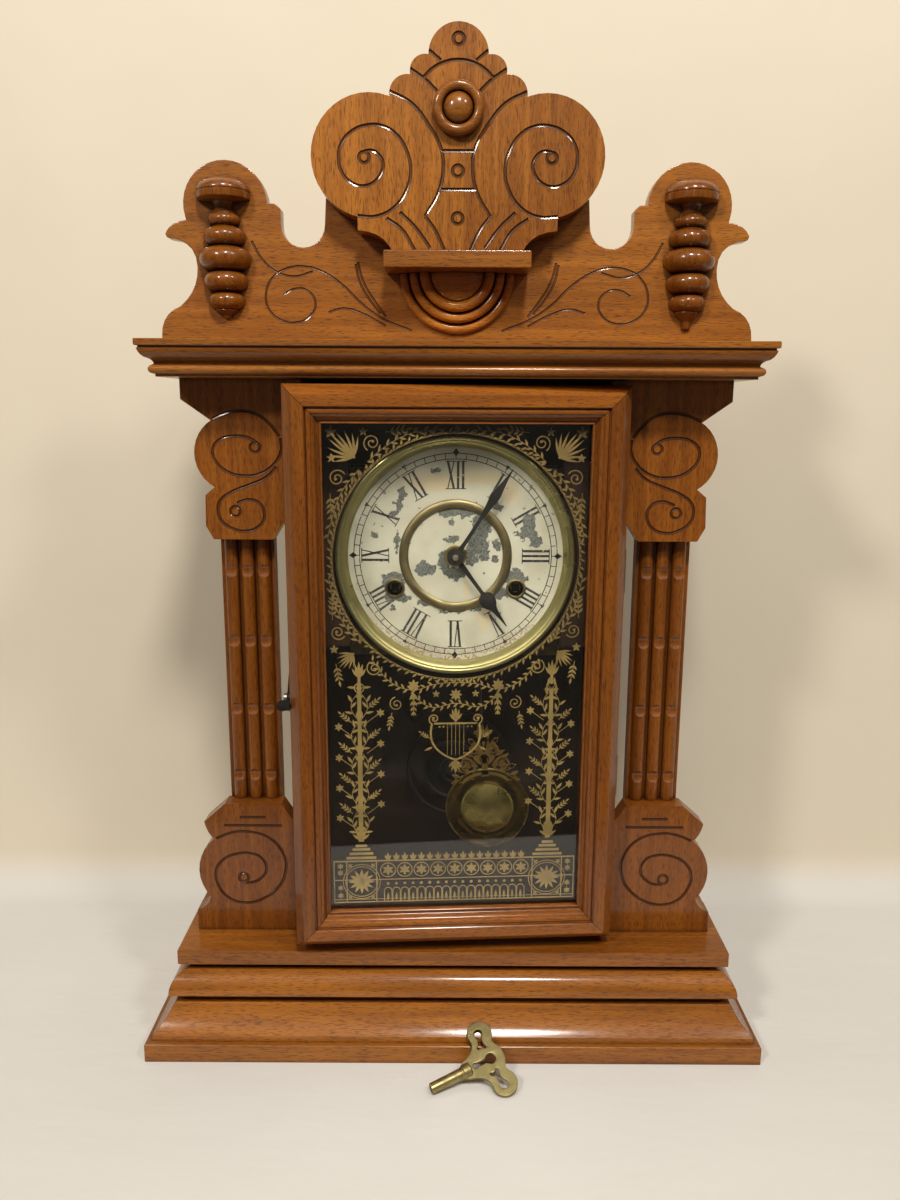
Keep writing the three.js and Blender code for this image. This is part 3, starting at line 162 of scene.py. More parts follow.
def backdrop():
    """The table runs up into the wall. Neither hides the clock from behind or from below."""
    table_front, wall_foot, cove = -0.30, 0.115, 0.03
    profile = [(table_front, -0.02), (table_front, 0.0), (wall_foot, 0.0)]
    for step in range(1, 9):
        turn = math.radians(90 * step / 8)
        profile.append((wall_foot + cove * math.sin(turn), cove - cove * math.cos(turn)))
    profile.append((wall_foot + cove, 2.4))
    points = [(x, y, z) for y, z in profile for x in (-3.0, 3.0)]
    faces = [(2 * i, 2 * i + 1, 2 * i + 3, 2 * i + 2) for i in range(len(profile) - 1)]
    material, nodes, shader, out = new_material("white_cloth_and_cream_wall")
    place = nodes.place()
    height = nodes.part(place, "Z")
    mottle = nodes.noise(place, 9.0, 3.0)
    cloth = nodes.mix(mottle, (0.65, 0.64, 0.62, 1), (0.70, 0.69, 0.67, 1))
    wall = nodes.mix(mottle, (0.70, 0.63, 0.51, 1), (0.75, 0.68, 0.56, 1))
    nodes.feed(shader.inputs["Base Color"], nodes.mix(nodes.step(height, 0.0, 0.03), cloth, wall))
    crease = nodes.noise(nodes.scaled(place, (7.0, 16.0, 4.0)), 1.0, 4.0, 0.6)
    nodes.feed(shader.inputs["Normal"], nodes.bump(crease, 0.004, 0.5))
    shader.inputs["Roughness"].default_value = 0.9
    back = nodes.add("ShaderNodeNewGeometry").outputs["Backfacing"]
    seen = nodes.add("ShaderNodeLightPath").outputs["Is Camera Ray"]
    hidden = nodes.times(back, seen)
    clear = nodes.add("ShaderNodeBsdfTransparent")
    sheet = nodes.add("ShaderNodeMixShader", {0: hidden, 1: shader.outputs[0], 2: clear.outputs[0]})
    nodes.feed(out.inputs["Surface"], sheet.outputs[0])
    stage = mesh_object("table_and_wall", points, faces, material)
    stage.data.shade_smooth()
    stage.data.set_sharp_from_angle(angle=math.radians(40))


def lamp(name, place, power, color):
    data = bpy.data.lights.new(name, "AREA")
    data.shape = "DISK"
    data.size = 0.22
    data.energy = power
    data.color = color
    turn = (Vector((0, 0, 0.25)) - Vector(place)).to_track_quat("-Z", "Y")
    linked(name, data).matrix_world = Matrix.Translation(place) @ turn.to_matrix().to_4x4()


def room():
    """The world looks pale to the camera, and lights the clock only weakly."""
    world = bpy.data.worlds.new("room")
    bpy.context.scene.world = world
    world.use_nodes = True
    world.node_tree.nodes.clear()
    nodes = Nodes(world.node_tree)
    seen = nodes.add("ShaderNodeLightPath").outputs["Is Camera Ray"]
    color = nodes.mix(seen, (0.11, 0.097, 0.076, 1), (0.70, 0.63, 0.52, 1))
    light = nodes.add("ShaderNodeBackground", {"Color": color, "Strength": 1.0})
    nodes.add("ShaderNodeOutputWorld", {0: light.outputs[0]})


backdrop()
room()
lamp("lamp_middle", (0.12, -0.95, 1.45), 15, (1, 0.95, 0.87))
lamp("lamp_left", (-0.75, -1.10, 1.20), 10, (1, 0.94, 0.84))
lamp("lamp_right", (0.80, -0.90, 1.40), 6, (1, 0.95, 0.87))

# ---- Base and shelf ----
# Three moulded strips of walnut, mitred at the front corners and planed to one section, with a
# flat shelf board glued on top. Old orange shellac, thin on the edges; the quirks are painted darker, as
# painted shade and old polish.
mm = 0.001
body_of = {
    node: body for body, nodes in frame["record"]["behaviour"]["bodies"].items() for node in nodes
}
mitre_gap = 0.15 * mm


def walnut(name, grain, tone=(1.0, 1.0, 1.0), shift=0.0, gloss=0.38, inside_painted_shade=False):
    """Shellacked walnut whose grain runs along X, Y or Z. The inside of the case can be painted near black,
    as painted shade.
    """
    material, nodes, shader, _ = new_material(name)
    turn = {"X": (0, 0, 0), "Y": (0, 0, 90), "Z": (0, 90, 0)}[grain]
    turned = nodes.add("ShaderNodeMapping", {"Vector": nodes.place()})
    turned.inputs["Location"].default_value = (shift, 0.7 * shift, 0.4 * shift)
    turned.inputs["Rotation"].default_value = [math.radians(angle) for angle in turn]

    def along_grain(x, yz):
        return nodes.scaled(turned.outputs[0], (x, yz, yz))

    def toned(r, g, b):
        return (r * tone[0], g * tone[1], b * tone[2], 1)

    broad = nodes.noise(along_grain(2.2, 13.0), 1.0, 2.0)
    figure = nodes.noise(along_grain(3.0, 30.0), 1.0, 3.0, 0.55)
    rings = nodes.math("MULTIPLY_ADD", nodes.math("SINE", nodes.times(figure, 42.0)), 0.5, 0.5)
    streak = nodes.noise(along_grain(11.0, 330.0), 1.0, 3.0, 0.6)
    pore = nodes.step(nodes.noise(along_grain(210.0, 2100.0), 1.0, 1.5), 0.53, 0.67)
    color = nodes.mix(nodes.step(broad, 0.3, 0.7), toned(0.235, 0.072, 0.006), toned(0.385, 0.130, 0.012))
    color = nodes.mix(nodes.times(rings, 0.38), color, toned(0.140, 0.039, 0.004))
    fine = nodes.step(streak, 0.35, 0.75)
    color = nodes.mix(nodes.times(fine, 0.36), color, toned(0.52, 0.200, 0.022))
    color = nodes.mix(nodes.times(pore, 0.56), color, toned(0.055, 0.015, 0.002))
    # The gouge cuts are painted dark: painted shade in the grooves, with old polish gathered there.
    groove_polish_and_shade = nodes.add("ShaderNodeAttribute", attribute_name="carved").outputs["Fac"]
    color = nodes.mix(nodes.times(groove_polish_and_shade, 0.75), color, toned(0.045, 0.014, 0.004))
    # The inside of the case is painted near black: painted shade within the shut case.
    if inside_painted_shade:
        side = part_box("case_side_right")[0]
        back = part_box("back_board")[1].y
        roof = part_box("top_board")[0].z
        spot = nodes.place()
        off_middle = nodes.math("ABSOLUTE", nodes.part(spot, "X"))
        inside = nodes.step(off_middle, side.x + 0.4 * mm, side.x - 0.4 * mm)
        for axis, outer, inner in (
            ("Y", side.y, side.y + mm),
            ("Y", back - 0.4 * mm, back - 1.2 * mm),
            ("Z", roof + 1.2 * mm, roof + 0.4 * mm),
        ):
            inside = nodes.times(inside, nodes.step(nodes.part(spot, axis), outer, inner))
        color = nodes.mix(inside, color, (0.012, 0.006, 0.003, 1))
    # Darker where ambient occlusion finds quirks and corners: painted shade, with old polish gathered there.
    shade = nodes.add("ShaderNodeAmbientOcclusion", {"Distance": 0.005}, samples=6).outputs["AO"]
    grime_and_painted_shade = nodes.mix(nodes.step(shade, 0.25, 0.85), (0.24, 0.18, 0.15, 1), (1, 1, 1, 1))
    nodes.feed(shader.inputs["Base Color"], nodes.mix(1.0, color, grime_and_painted_shade, "MULTIPLY"))
    nodes.feed(shader.inputs["Roughness"], nodes.math("MULTIPLY_ADD", streak, 0.16, gloss))
    shader.inputs["Specular IOR Level"].default_value = 0.2
    shader.inputs["Coat Weight"].default_value = 0.6
    shader.inputs["Coat Roughness"].default_value = 0.13
    ripple = nodes.noise(along_grain(240.0, 110.0), 1.0, 2.0)
    height = nodes.math("MULTIPLY_ADD", ripple, 1.2, nodes.times(fine, 0.3))
    height = nodes.math("MULTIPLY_ADD", pore, -0.45, height)
    nodes.feed(shader.inputs["Normal"], nodes.bump(height, 0.0002, 0.6))
    return material


walnut_x = walnut("walnut_grain_across", "X", (0.92, 0.90, 0.88), shift=0.31)
walnut_y = walnut("walnut_grain_back", "Y", (0.85, 0.82, 0.8), shift=1.13)
walnut_z = walnut("walnut_grain_up", "Z", shift=2.41)
walnut_shelf = walnut("walnut_shelf", "X", (0.86, 0.82, 0.8), shift=0.77, inside_painted_shade=True)
walnut_side = walnut("walnut_case_side", "Z", (0.7, 0.62, 0.55), shift=1.9, inside_painted_shade=True)
# Darker copies for the door frame, the columns, the lower brackets and the back rail: painted shade, for the
# lesser light that reaches them.
walnut_painted_shade_x = walnut("walnut_deep_grain_across", "X", (0.74, 0.65, 0.5), shift=5.2)
walnut_painted_shade_z = walnut("walnut_deep_grain_up", "Z", (0.66, 0.57, 0.45), shift=5.9)
walnut_dark = walnut("walnut_turned", "Z", (0.66, 0.58, 0.5), shift=4.7, gloss=0.26)
walnut_mid = walnut("walnut_boss", "X", (0.86, 0.84, 0.8), shift=6.3, gloss=0.28)
# A lighter copy for the rosette: painted light, standing in for light that the ledge above keeps off it.
walnut_painted_light = walnut("walnut_rosette", "X", (1.4, 1.4, 1.3), shift=7.1, gloss=0.34)
walnut_back = walnut("walnut_back_board", "Z", (0.62, 0.58, 0.52), shift=8.3, gloss=0.5, inside_painted_shade=True)
# The inside wood and the dial strips are painted near black: painted shade inside the case.
inside_wood_painted_shade = walnut("stained_inside_wood", "Z", (0.06, 0.06, 0.08), shift=3.2, gloss=0.6)


def wear(material, *names):
    """Gives carried-over solids their finish."""
    for name in names:
        node = frame["nodes"][name]
        node.data.materials.clear()
        node.data.materials.append(material)


def stand_for(piece, *nodes):
    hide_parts(*nodes)
    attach(piece, body_of[nodes[0]])


@contextmanager
def reshaped(mesh, *others):
    """A mesh opened for editing, with any other meshes joined to it."""
    shape = bmesh.new()
    for source in (mesh, *others):
        shape.from_mesh(source)
    yield shape
    shape.to_mesh(mesh)
    shape.free()


def smoothed(piece, angle=28):
    """Closes the seams, turns the faces outwards and shades all but the sharp edges smooth."""
    former = piece.data.attributes.get("custom_normal")
    if former:
        piece.data.attributes.remove(former)
    with reshaped(piece.data) as shape:
        bmesh.ops.remove_doubles(shape, verts=shape.verts, dist=1e-7)
        bmesh.ops.recalc_face_normals(shape, faces=shape.faces)
    piece.data.shade_smooth()
    piece.data.set_sharp_from_angle(angle=math.radians(angle))
    even = piece.modifiers.new("flats_stay_flat", "WEIGHTED_NORMAL")
    even.keep_sharp = True
    even.weight = 100
    return baked(piece)


def baked(piece):
    """Turns the piece's modifiers into plain mesh."""
    graph = bpy.context.evaluated_depsgraph_get()
    mesh = bpy.data.meshes.new_from_object(
        piece.evaluated_get(graph), preserve_all_data_layers=True, depsgraph=graph
    )
    piece.modifiers.clear()
    piece.data = mesh
    return piece


def rounded(piece, width, sharper_than=30):
    """Rounds the edges that are sharper than an angle in degrees."""
    bevel = piece.modifiers.new("rounded_edges", "BEVEL")
    bevel.width = width
    bevel.segments = 2
    bevel.angle_limit = math.radians(sharper_than)
    return baked(piece)


def eased(node, edge, material):
    """A copy of a solid with its sharp edges eased, as by sandpaper."""
    mesh = frame["nodes"][node].data.copy()
    mesh.materials.clear()
    mesh.materials.append(material)
    with reshaped(mesh) as shape:
        bmesh.ops.remove_doubles(shape, verts=shape.verts, dist=2e-6)
        flat = math.radians(2)
        bmesh.ops.dissolve_limit(shape, angle_limit=flat, verts=shape.verts, edges=shape.edges)
    return smoothed(rounded(linked(node + "_eased", mesh), edge, 40))


def arc(cx, cy, radius, start, end, steps):
    angles = [math.radians(start + (end - start) * i / steps) for i in range(steps + 1)]
    return [(cx + radius * math.cos(a), cy + radius * math.sin(a)) for a in angles]


def bend(start, towards, end, steps):
    """Points of a curve from start to end, pulled towards a third point."""
    points = []
    for i in range(steps + 1):
        t = i / steps
        weights = ((1 - t) ** 2, 2 * t * (1 - t), t * t)
        points.append(tuple(sum(w * p[k] for w, p in zip(weights, (start, towards, end))) for k in (0, 1)))
    return points


def moulded(name, section, start, end, material):
    """A planed strip: start and end turn a point of the section into a point in space."""
    count = len(section)
    points = [start(*p) for p in section] + [end(*p) for p in section]
    faces = [(i, (i + 1) % count, (i + 1) % count + count, i + count) for i in range(count)]
    faces += [tuple(range(count)), tuple(range(count, 2 * count))]
    return smoothed(mesh_object(name, points, faces, material))


def mitred_frame(prefix, section, foot):
    """Three runs of a moulding round the front and both sides, from their solids' places."""
    low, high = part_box(prefix + "_front")
    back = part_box(prefix + "_left")[1].y
    half, front = high.x + mitre_gap, low.y

    def front_run(side):
        return lambda i, z: (side * (half - mitre_gap - i * mm), front + i * mm, foot + z * mm)

    front_piece = moulded(prefix + "_front_planed", section, front_run(-1), front_run(1), walnut_x)
    stand_for(front_piece, prefix + "_front")
    for name, side in (("left", -1), ("right", 1)):
        piece = moulded(
            prefix + "_" + name + "_planed",
            section,
            lambda i, z: (side * (half - i * mm), front + i * mm + mitre_gap, foot + z * mm),
            lambda i, z: (side * (half - i * mm), back, foot + z * mm),
            walnut_y,
        )
        stand_for(piece, prefix + "_" + name)


# inset from the outer face and height, in mm: plinth, cove, quirk and ovolo
base_section = [
    (0, 0), (0, 10.4), (0.4, 10.8), (3.4, 10.8),
    *bend((3.8, 14.2), (10.9, 20.0), (14.4, 28.2), 14), (14.8, 28.5),
    (18.5, 28.5), (18.5, 33.8), (12.6, 33.8), *arc(24.3, 35.0, 12.4, 184, 92, 18),
    (24.3, 47.6), (24.3, 50.6), (24.7, 51.0), (32, 51), (32, 0),
]
mitred_frame("base_moulding", base_section, 0)
wear(walnut_painted_shade_x, "base_back_rail")
stand_for(eased("shelf_board", 0.8 * mm, walnut_shelf), "shelf_board")

# ---- Case ----
# A plain box of walnut boards with a thin back board let in behind. Its inside is painted near
# black, as painted shade within the shut case, and two strips of the same wood carry the dial.
for side_name in ("left", "right"):
    stand_for(eased("case_side_" + side_name, 0.5 * mm, walnut_side), "case_side_" + side_name)
wear(walnut_back, "back_board")
wear(walnut_shelf, "top_board")
wear(inside_wood_painted_shade, "dial_cleat_left", "dial_cleat_right")

# ---- Cornice ----
# A cyma moulding under a square fillet, mitred round the front and sides of the top board.
cornice_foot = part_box("cornice_moulding_front")[0].z
cornice_section = [
    (0.4, 18.5), (0, 18.1), (0, 15.5), (0.4, 15.1), (1.6, 15.1), (1.6, 14.2),
    *bend((1.0, 13.9), (1.6, 11.2), (3.6, 9.8), 6), *bend((3.8, 9.6), (7.4, 8.6), (7.6, 6.4), 6),
    *arc(7.3, 3.7, 2.2, 110, 235, 8), (8, 1.2), (8, 0), (20, 0), (20, 18.5),
]
mitred_frame("cornice_moulding", cornice_section, cornice_foot)

# ---- Brackets ----
# Four scroll-sawn walnut boards, grain upright, planted on the sides of the case. Their
# spirals are run with a round gouge, and the cuts are painted dark: painted shade in them, with old polish.


def geometry_tree(name, inputs):
    """A geometry tree with named inputs. Gives its nodes and its input sockets."""
    tree = bpy.data.node_groups.new(name, "GeometryNodeTree")
    tree.interface.new_socket("Geometry", in_out="INPUT", socket_type="NodeSocketGeometry")
    for label, kind in inputs:
        tree.interface.new_socket(label, in_out="INPUT", socket_type="NodeSocket" + kind)
    tree.interface.new_socket("Geometry", in_out="OUTPUT", socket_type="NodeSocketGeometry")
    nodes = Nodes(tree)
    return nodes, nodes.add("NodeGroupInput").outputs


def end_tree(nodes, geometry, material):
    """Every tree ends with real geometry in its own material."""
    real = nodes.add("GeometryNodeRealizeInstances", {"Geometry": geometry}).outputs[0]
    painted = nodes.add("GeometryNodeSetMaterial", {"Geometry": real, "Material": material})
    nodes.add("NodeGroupOutput", {0: painted.outputs[0]})
    return nodes.tree


def grown(piece, tree, values):
    """Runs a geometry tree on a piece and keeps the result as plain mesh."""
    modifier = piece.modifiers.new("build", "NODES")
    modifier.node_group = tree
    for item in tree.interface.items_tree:
        if item.in_out == "INPUT" and item.name in values:
            modifier[item.identifier] = values[item.name]
    piece.data.update()
    return baked(piece)


def carving_tree():
    nodes, given = geometry_tree(
        "carved_lines", [("Lines", "Object"), ("Gouge Radius", "Float"), ("Material", "Material")]
    )
    lines = nodes.add("GeometryNodeObjectInfo", {"Object": given["Lines"]}).outputs["Geometry"]
    inputs = {"Resolution": 10, "Radius": given["Gouge Radius"]}
    circle = nodes.add("GeometryNodeCurvePrimitiveCircle", inputs)
    inputs = {"Curve": lines, "Profile Curve": circle.outputs[0], "Fill Caps": True}
    cutter = nodes.add("GeometryNodeCurveToMesh", inputs).outputs[0]

    inputs = {"Geometry": cutter, "Name": "carved", "Value": 1.0}
    kinds = {"data_type": "FLOAT", "domain": "FACE"}
    cutter = nodes.add("GeometryNodeStoreNamedAttribute", inputs, **kinds).outputs[0]
    inputs = {"Mesh 1": given["Geometry"], "Mesh 2": cutter}
    cut = nodes.add("GeometryNodeMeshBoolean", inputs, operation="DIFFERENCE", solver="MANIFOLD")
    return end_tree(nodes, cut.outputs[0], given["Material"])


carved_lines = carving_tree()


def diced(piece, size):
    """Divides a board's faces into small cells, which keeps the cuts clean."""
    with reshaped(piece.data) as shape:
        for axis in (0, 2):
            places = [v.co[axis] for v in shape.verts]
            normal = Vector([k == axis for k in range(3)])
            for step in range(1, int((max(places) - min(places)) / size) + 1):
                spot = normal * (min(places) + step * size)
                everything = shape.verts[:] + shape.edges[:] + shape.faces[:]
                bmesh.ops.bisect_plane(shape, geom=everything, dist=1e-7, plane_co=spot, plane_no=normal)
        bmesh.ops.triangulate(shape, faces=shape.faces)


def drawn(name, paths, place, steps):
    """A smooth curve through each path. A path that ends where it began is closed."""
    data = bpy.data.curves.new(name, "CURVE")
    data.dimensions = "3D"
    data.resolution_u = steps
    for points in paths:
        closed = points[0] == points[-1]
        knots = points[:-1] if closed else points
        spline = data.splines.new("BEZIER")
        spline.bezier_points.add(len(knots) - 1)
        spline.use_cyclic_u = closed
        for knot, point in zip(spline.bezier_points, knots):
            knot.co = place(*point)
            knot.handle_left_type = knot.handle_right_type = "AUTO"
    return linked(name, data)


def carved(piece, strokes, gouge, depth):
    """Cuts strokes, lists of (x, z) in mm, into the front face of a board."""
    diced(piece, 6 * mm)
    face = min(v.co.y for v in piece.data.vertices)
    middle = face - (gouge - depth) * mm
    material = piece.data.materials[0]
    for stroke in strokes:
        line = drawn(piece.name + "_line", [stroke], lambda x, z: (x * mm, middle, z * mm), 6)
        grown(piece, carved_lines, {"Lines": line, "Gouge Radius": gouge * mm, "Material": material})
        bpy.data.objects.remove(line)
    return smoothed(piece)


def ring(x, z, radius):
    points = arc(x, z, radius, 0, 360, 8)
    return points[:-1] + points[:1]


def mirrored(strokes):
    return [[(-x, z) for x, z in points] for points in strokes]


walnut_bracket = walnut("walnut_bracket", "Z", (0.86, 0.78, 0.66), shift=3.7)
upper_scroll = [
    [(96.1, 354), (101.6, 361), (108.6, 366), (116.6, 367.5), (125.6, 366), (132.6, 363)],
    [(95.6, 353), (95.2, 347), (98.6, 340), (106.6, 334), (115.6, 332.5), (125.6, 335), (131.6, 341),
     (132.6, 347), (128.6, 352), (119.6, 354), (111.6, 352.5), (108.2, 350)],
    [(98.1, 337.5), (103.6, 332), (113.6, 327.5), (123.6, 323.5), (129.6, 319), (131.1, 315),
     (129.6, 308), (123.6, 303.5), (116.6, 302), (108.6, 305), (105.6, 311), (107.6, 317),
     (113.6, 319.5), (120.6, 317.5)],
    ring(109.6, 348, 2.6),
    ring(121.6, 313, 2.7),
]
lower_scroll = [
    [(111, 132.5), (126, 132.5)],
    [(101.5, 127.3), (135.5, 127.3)],
    [(140.6, 119), (132, 122.5), (123.6, 123.5), (108.6, 119), (100.6, 108), (100.1, 98), (104.6, 88),
     (114.6, 80), (123.6, 77.5), (133.6, 80), (140.1, 88), (141.6, 98), (137.6, 105), (129.6, 109),
     (120.6, 109.5), (113.6, 106), (111.6, 99), (114.6, 94), (119.6, 91), (124.6, 90.5)],
    ring(125.1, 94, 2.8),
]
# The lower brackets take the darker walnut: painted shade.
for bracket, strokes, wood in (
    ("upper_bracket_", upper_scroll, walnut_bracket), ("lower_bracket_", lower_scroll, walnut_painted_shade_z)
):
    for side_name, cuts in (("left", mirrored(strokes)), ("right", strokes)):
        board = eased(bracket + side_name, 0.6 * mm, wood)
        stand_for(carved(board, cuts, gouge=0.95, depth=0.75), bracket + side_name)

# ---- Columns ----
# A narrow board with three half-round reeds stuck on it side by side, and four rows of shallow
# scoops gouged across them.
reed_radius = 4.0
reed_spacing = 9.2
scoop_radius = 5.0
scoop_rise = 3.4  # middle of the scoop's round in front of the reeds
scoop_spacing = 40.8
scoop_middle = 217.0


def column_tree():
    nodes, given = geometry_tree(
        "reeded_column",
        [("Board", "Vector"), ("Centre", "Vector"), ("Reed Radius", "Float"), ("Reed Length", "Float"),
         ("Reed Middle", "Vector"), ("Reed Spacing", "Vector"), ("Scoop Radius", "Float"),
         ("Scoop First", "Vector"), ("Scoop Spacing", "Vector"), ("Material", "Material")],
    )
    board = nodes.add("GeometryNodeMeshCube", {"Size": given["Board"]}).outputs[0]
    board = nodes.add("GeometryNodeTransform", {"Geometry": board, "Translation": given["Centre"]}).outputs[0]

    def row(count, first, spacing, piece):
        inputs = {"Count": count, "Start Location": first, "Offset": spacing}
        line = nodes.add("GeometryNodeMeshLine", inputs).outputs[0]
        inputs = {"Points": line, "Instance": piece}
        placed = nodes.add("GeometryNodeInstanceOnPoints", inputs).outputs[0]
        return nodes.add("GeometryNodeRealizeInstances", {"Geometry": placed}).outputs[0]

    inputs = {"Vertices": 40, "Radius": given["Reed Radius"], "Depth": given["Reed Length"]}
    rod = nodes.add("GeometryNodeMeshCylinder", inputs).outputs[0]
    reeds = row(3, given["Reed Middle"], given["Reed Spacing"], rod)
    inputs = {"Vertices": 32, "Radius": given["Scoop Radius"], "Depth": 0.05}
    gouge = nodes.add("GeometryNodeMeshCylinder", inputs).outputs[0]
    inputs = {"Geometry": gouge, "Rotation": (0, math.radians(90), 0)}
    gouge = nodes.add("GeometryNodeTransform", inputs).outputs[0]
    scoops = row(4, given["Scoop First"], given["Scoop Spacing"], gouge)
    whole = nodes.add("GeometryNodeMeshBoolean", {"Mesh 2": board}, operation="UNION", solver="MANIFOLD")
    nodes.feed(whole.inputs["Mesh 2"], reeds)
    inputs = {"Mesh 1": whole.outputs[0], "Mesh 2": scoops}
    cut = nodes.add("GeometryNodeMeshBoolean", inputs, operation="DIFFERENCE", solver="MANIFOLD")
    return end_tree(nodes, cut.outputs[0], given["Material"])


reeded_column = column_tree()
column_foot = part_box("lower_bracket_right")[1].z + 0.2 * mm
column_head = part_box("upper_bracket_right")[0].z - 0.2 * mm
# The columns take the darker walnut: painted shade.
for side_name in ("left", "right"):
    low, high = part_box("column_" + side_name)
    middle = (low + high) / 2
    board_face = low.y + reed_radius * mm
    column = mesh_object("column_" + side_name + "_reeded", [], [])
    values = {
        "Board": (high.x - low.x, high.y - board_face, high.z - low.z),
        "Centre": (middle.x, (board_face + high.y) / 2, middle.z),
        "Reed Radius": reed_radius * mm,
        "Reed Length": column_head - column_foot,
        "Reed Middle": (middle.x - reed_spacing * mm, board_face, (column_foot + column_head) / 2),
        "Reed Spacing": (reed_spacing * mm, 0, 0),
        "Scoop Radius": scoop_radius * mm,
        "Scoop First": (middle.x, low.y - scoop_rise * mm, (scoop_middle - 1.5 * scoop_spacing) * mm),
        "Scoop Spacing": (0, 0, scoop_spacing * mm),
        "Material": walnut_painted_shade_z,
    }
    stand_for(smoothed(grown(column, reeded_column, values)), "column_" + side_name)

# ---- Crest board ----
# One wide board sawn to a scrolled outline with eared tops, grain running across. Vines are
# cut into it with a fine veining tool.
vines = [
    [(-24.4, 410.5), (-41.4, 417.5), (-51.4, 424.5), (-61.4, 434), (-71.4, 440.5), (-81.4, 443.5),
     (-91.4, 442.5), (-98.4, 438.5), (-102.9, 430), (-101.4, 421), (-94.4, 415.5), (-87.4, 414.5),
     (-79.4, 418), (-76.4, 425), (-80.4, 431), (-87.4, 432), (-93.4, 429)],
    [(-109.9, 456.5), (-104.4, 447), (-96.4, 440.5), (-87.4, 438.5), (-77.4, 441)],
    [(-69.4, 420), (-61.4, 422), (-51.4, 419.5), (-38.4, 413)],
    [(-54.4, 445), (-52.4, 436), (-47.4, 427), (-41.4, 419.5)],
    [(-53.2, 446), (-50.4, 436), (-44.4, 426), (-38.4, 418)],
]
crest = eased("crest_board", 0.6 * mm, walnut_x)
stand_for(carved(crest, vines + mirrored(vines), gouge=0.7, depth=0.5), "crest_board")

# ---- Crest plate and boss ----
# A thick upright-grained board with two round volutes and stepped lobes, planted on the crest
# board and deeply line-carved. A turned boss is pinned to its head.
plate_half = [
    [(-51.8, 466.6), (-42, 466.4), (-32.4, 471), (-26.2, 479.5), (-24.2, 489.5), (-26.6, 498.8),
     (-32, 506.2), (-39, 509.8), (-46.4, 510), (-53.6, 507.4), (-59.4, 501.4), (-61, 493.8),
     (-59, 486.8), (-54.6, 482.6), (-48.8, 481), (-43, 482.9), (-39.4, 487), (-38.2, 491.6),
     (-40.2, 495.8), (-44, 498), (-47.8, 497.6)],
    ring(-48, 494.8, 2.6),
    [(-34.8, 526), (-23.8, 520.5), (-14.8, 510), (-8.8, 499.5), (-7.5, 490), (-10, 478), (-16.8, 466.5)],
    [(-16.8, 466.5), (-11.8, 460), (-6.8, 450)],
    [(-14.9, 545), (-8.9, 540.3)],
    [(-24.4, 536.5), (-16.8, 531.5), (-10.8, 526)],
    [(-29.8, 468.5), (-21.8, 461), (-14.3, 451)],
    [(-36.8, 465.5), (-28.8, 460), (-22.3, 450)],
]
plate_middle = [
    arc(0, 517.6, 23, 40, 140, 6),
    [(-8.8, 498), (8.8, 498)],
    [(-9.4, 479.5), (9.4, 479.5)],
    ring(0, 550.3, 2.7),
    ring(0, 488.5, 2.7),
    ring(0, 465.5, 2.7),
]
plate = eased("crest_plate", 0.7 * mm, walnut_z)
plate_cuts = plate_half + mirrored(plate_half) + plate_middle
stand_for(carved(plate, plate_cuts, gouge=1.0, depth=0.85), "crest_plate")


def turned(name, profile, place, material, axis="Y", sweep=(0, 360), steps=96, loop=False):
    """Lathe work: the profile's (radius, height) in mm swept about an axis through place."""
    whole = sweep[1] - sweep[0] == 360
    angles = [math.radians(sweep[0] + (sweep[1] - sweep[0]) * i / steps) for i in range(steps + 1 - whole)]
    points = []
    for angle in angles:
        for radius, height in profile:
            across, up = radius * mm * math.cos(angle), radius * mm * math.sin(angle)
            spot = (across, height * mm, up) if axis == "Y" else (across, up, height * mm)
            points.append(Vector(place) + Vector(spot))
    count = len(profile)
    faces = []
    for i in range(len(angles) - 1 + whole):
        near, far = i * count, (i + 1) % len(angles) * count
        for k in range(count - 1 + loop):
            n = (k + 1) % count
            faces.append((near + k, near + n, far + n, far + k))
    if not whole:
        last = (len(angles) - 1) * count
        faces.append([*range(count), *range(last + count - 1, last - 1, -1)])
    return smoothed(mesh_object(name, points, faces, material), 34)


low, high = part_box("crest_boss")
boss_radius = (high.x - low.x) / 2 / mm
button = [(7.9 * x, -1.8 + 5.2 * y) for x, y in arc(0, 0, 1, -4, -90, 16)[:-1]]
boss_profile = [
    (0, 0), (boss_radius, 0), (boss_radius, -2.6), *arc(boss_radius - 2.5, -3.3, 2.5, 10, -165, 16),
    (boss_radius - 5.0, -2.0), *button, (0, -7.0),
]
boss_place = (0, high.y, (low.z + high.z) / 2)
stand_for(turned("crest_boss_turned", boss_profile, boss_place, walnut_mid), "crest_boss")

# ---- Ledge and rosette ----
# A square-edged ledge carries the plate, and half of a turned rosette of three rolls and a
# dome is glued up under it.
stand_for(eased("crest_ledge", 0.8 * mm, walnut_x), "crest_ledge")
low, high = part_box("crest_rosette")
rosette_radius, dome_radius, rosette_rise = (high.x - low.x) / 2 / mm, 14.5, (high.y - low.y) / mm
roll = (rosette_radius - dome_radius) / 3
rosette_profile = [(0, 0), (rosette_radius, 0)]
for i in range(3):
    lift = rosette_rise * (i + 1) / 3 - roll / 2
    centre = rosette_radius - roll * (i + 0.5)
    rosette_profile += [(r, y - lift) for r, y in arc(centre, 0, roll / 2, 0, -180, 10)]
dome_lift = rosette_rise - roll / 2
dome = arc(0, 0, dome_radius, -4, -90, 12)
rosette_profile += [(r, -dome_lift + y * roll / 2 / dome_radius) for r, y in dome]
rosette_profile[-1] = (0, rosette_profile[-1][1])
# The rosette is turned in the lighter walnut: painted light.
rosette = turned(
    "crest_rosette_turned", rosette_profile, (0, high.y, high.z), walnut_painted_light, sweep=(180, 360), steps=72
)
stand_for(rosette, "crest_rosette")

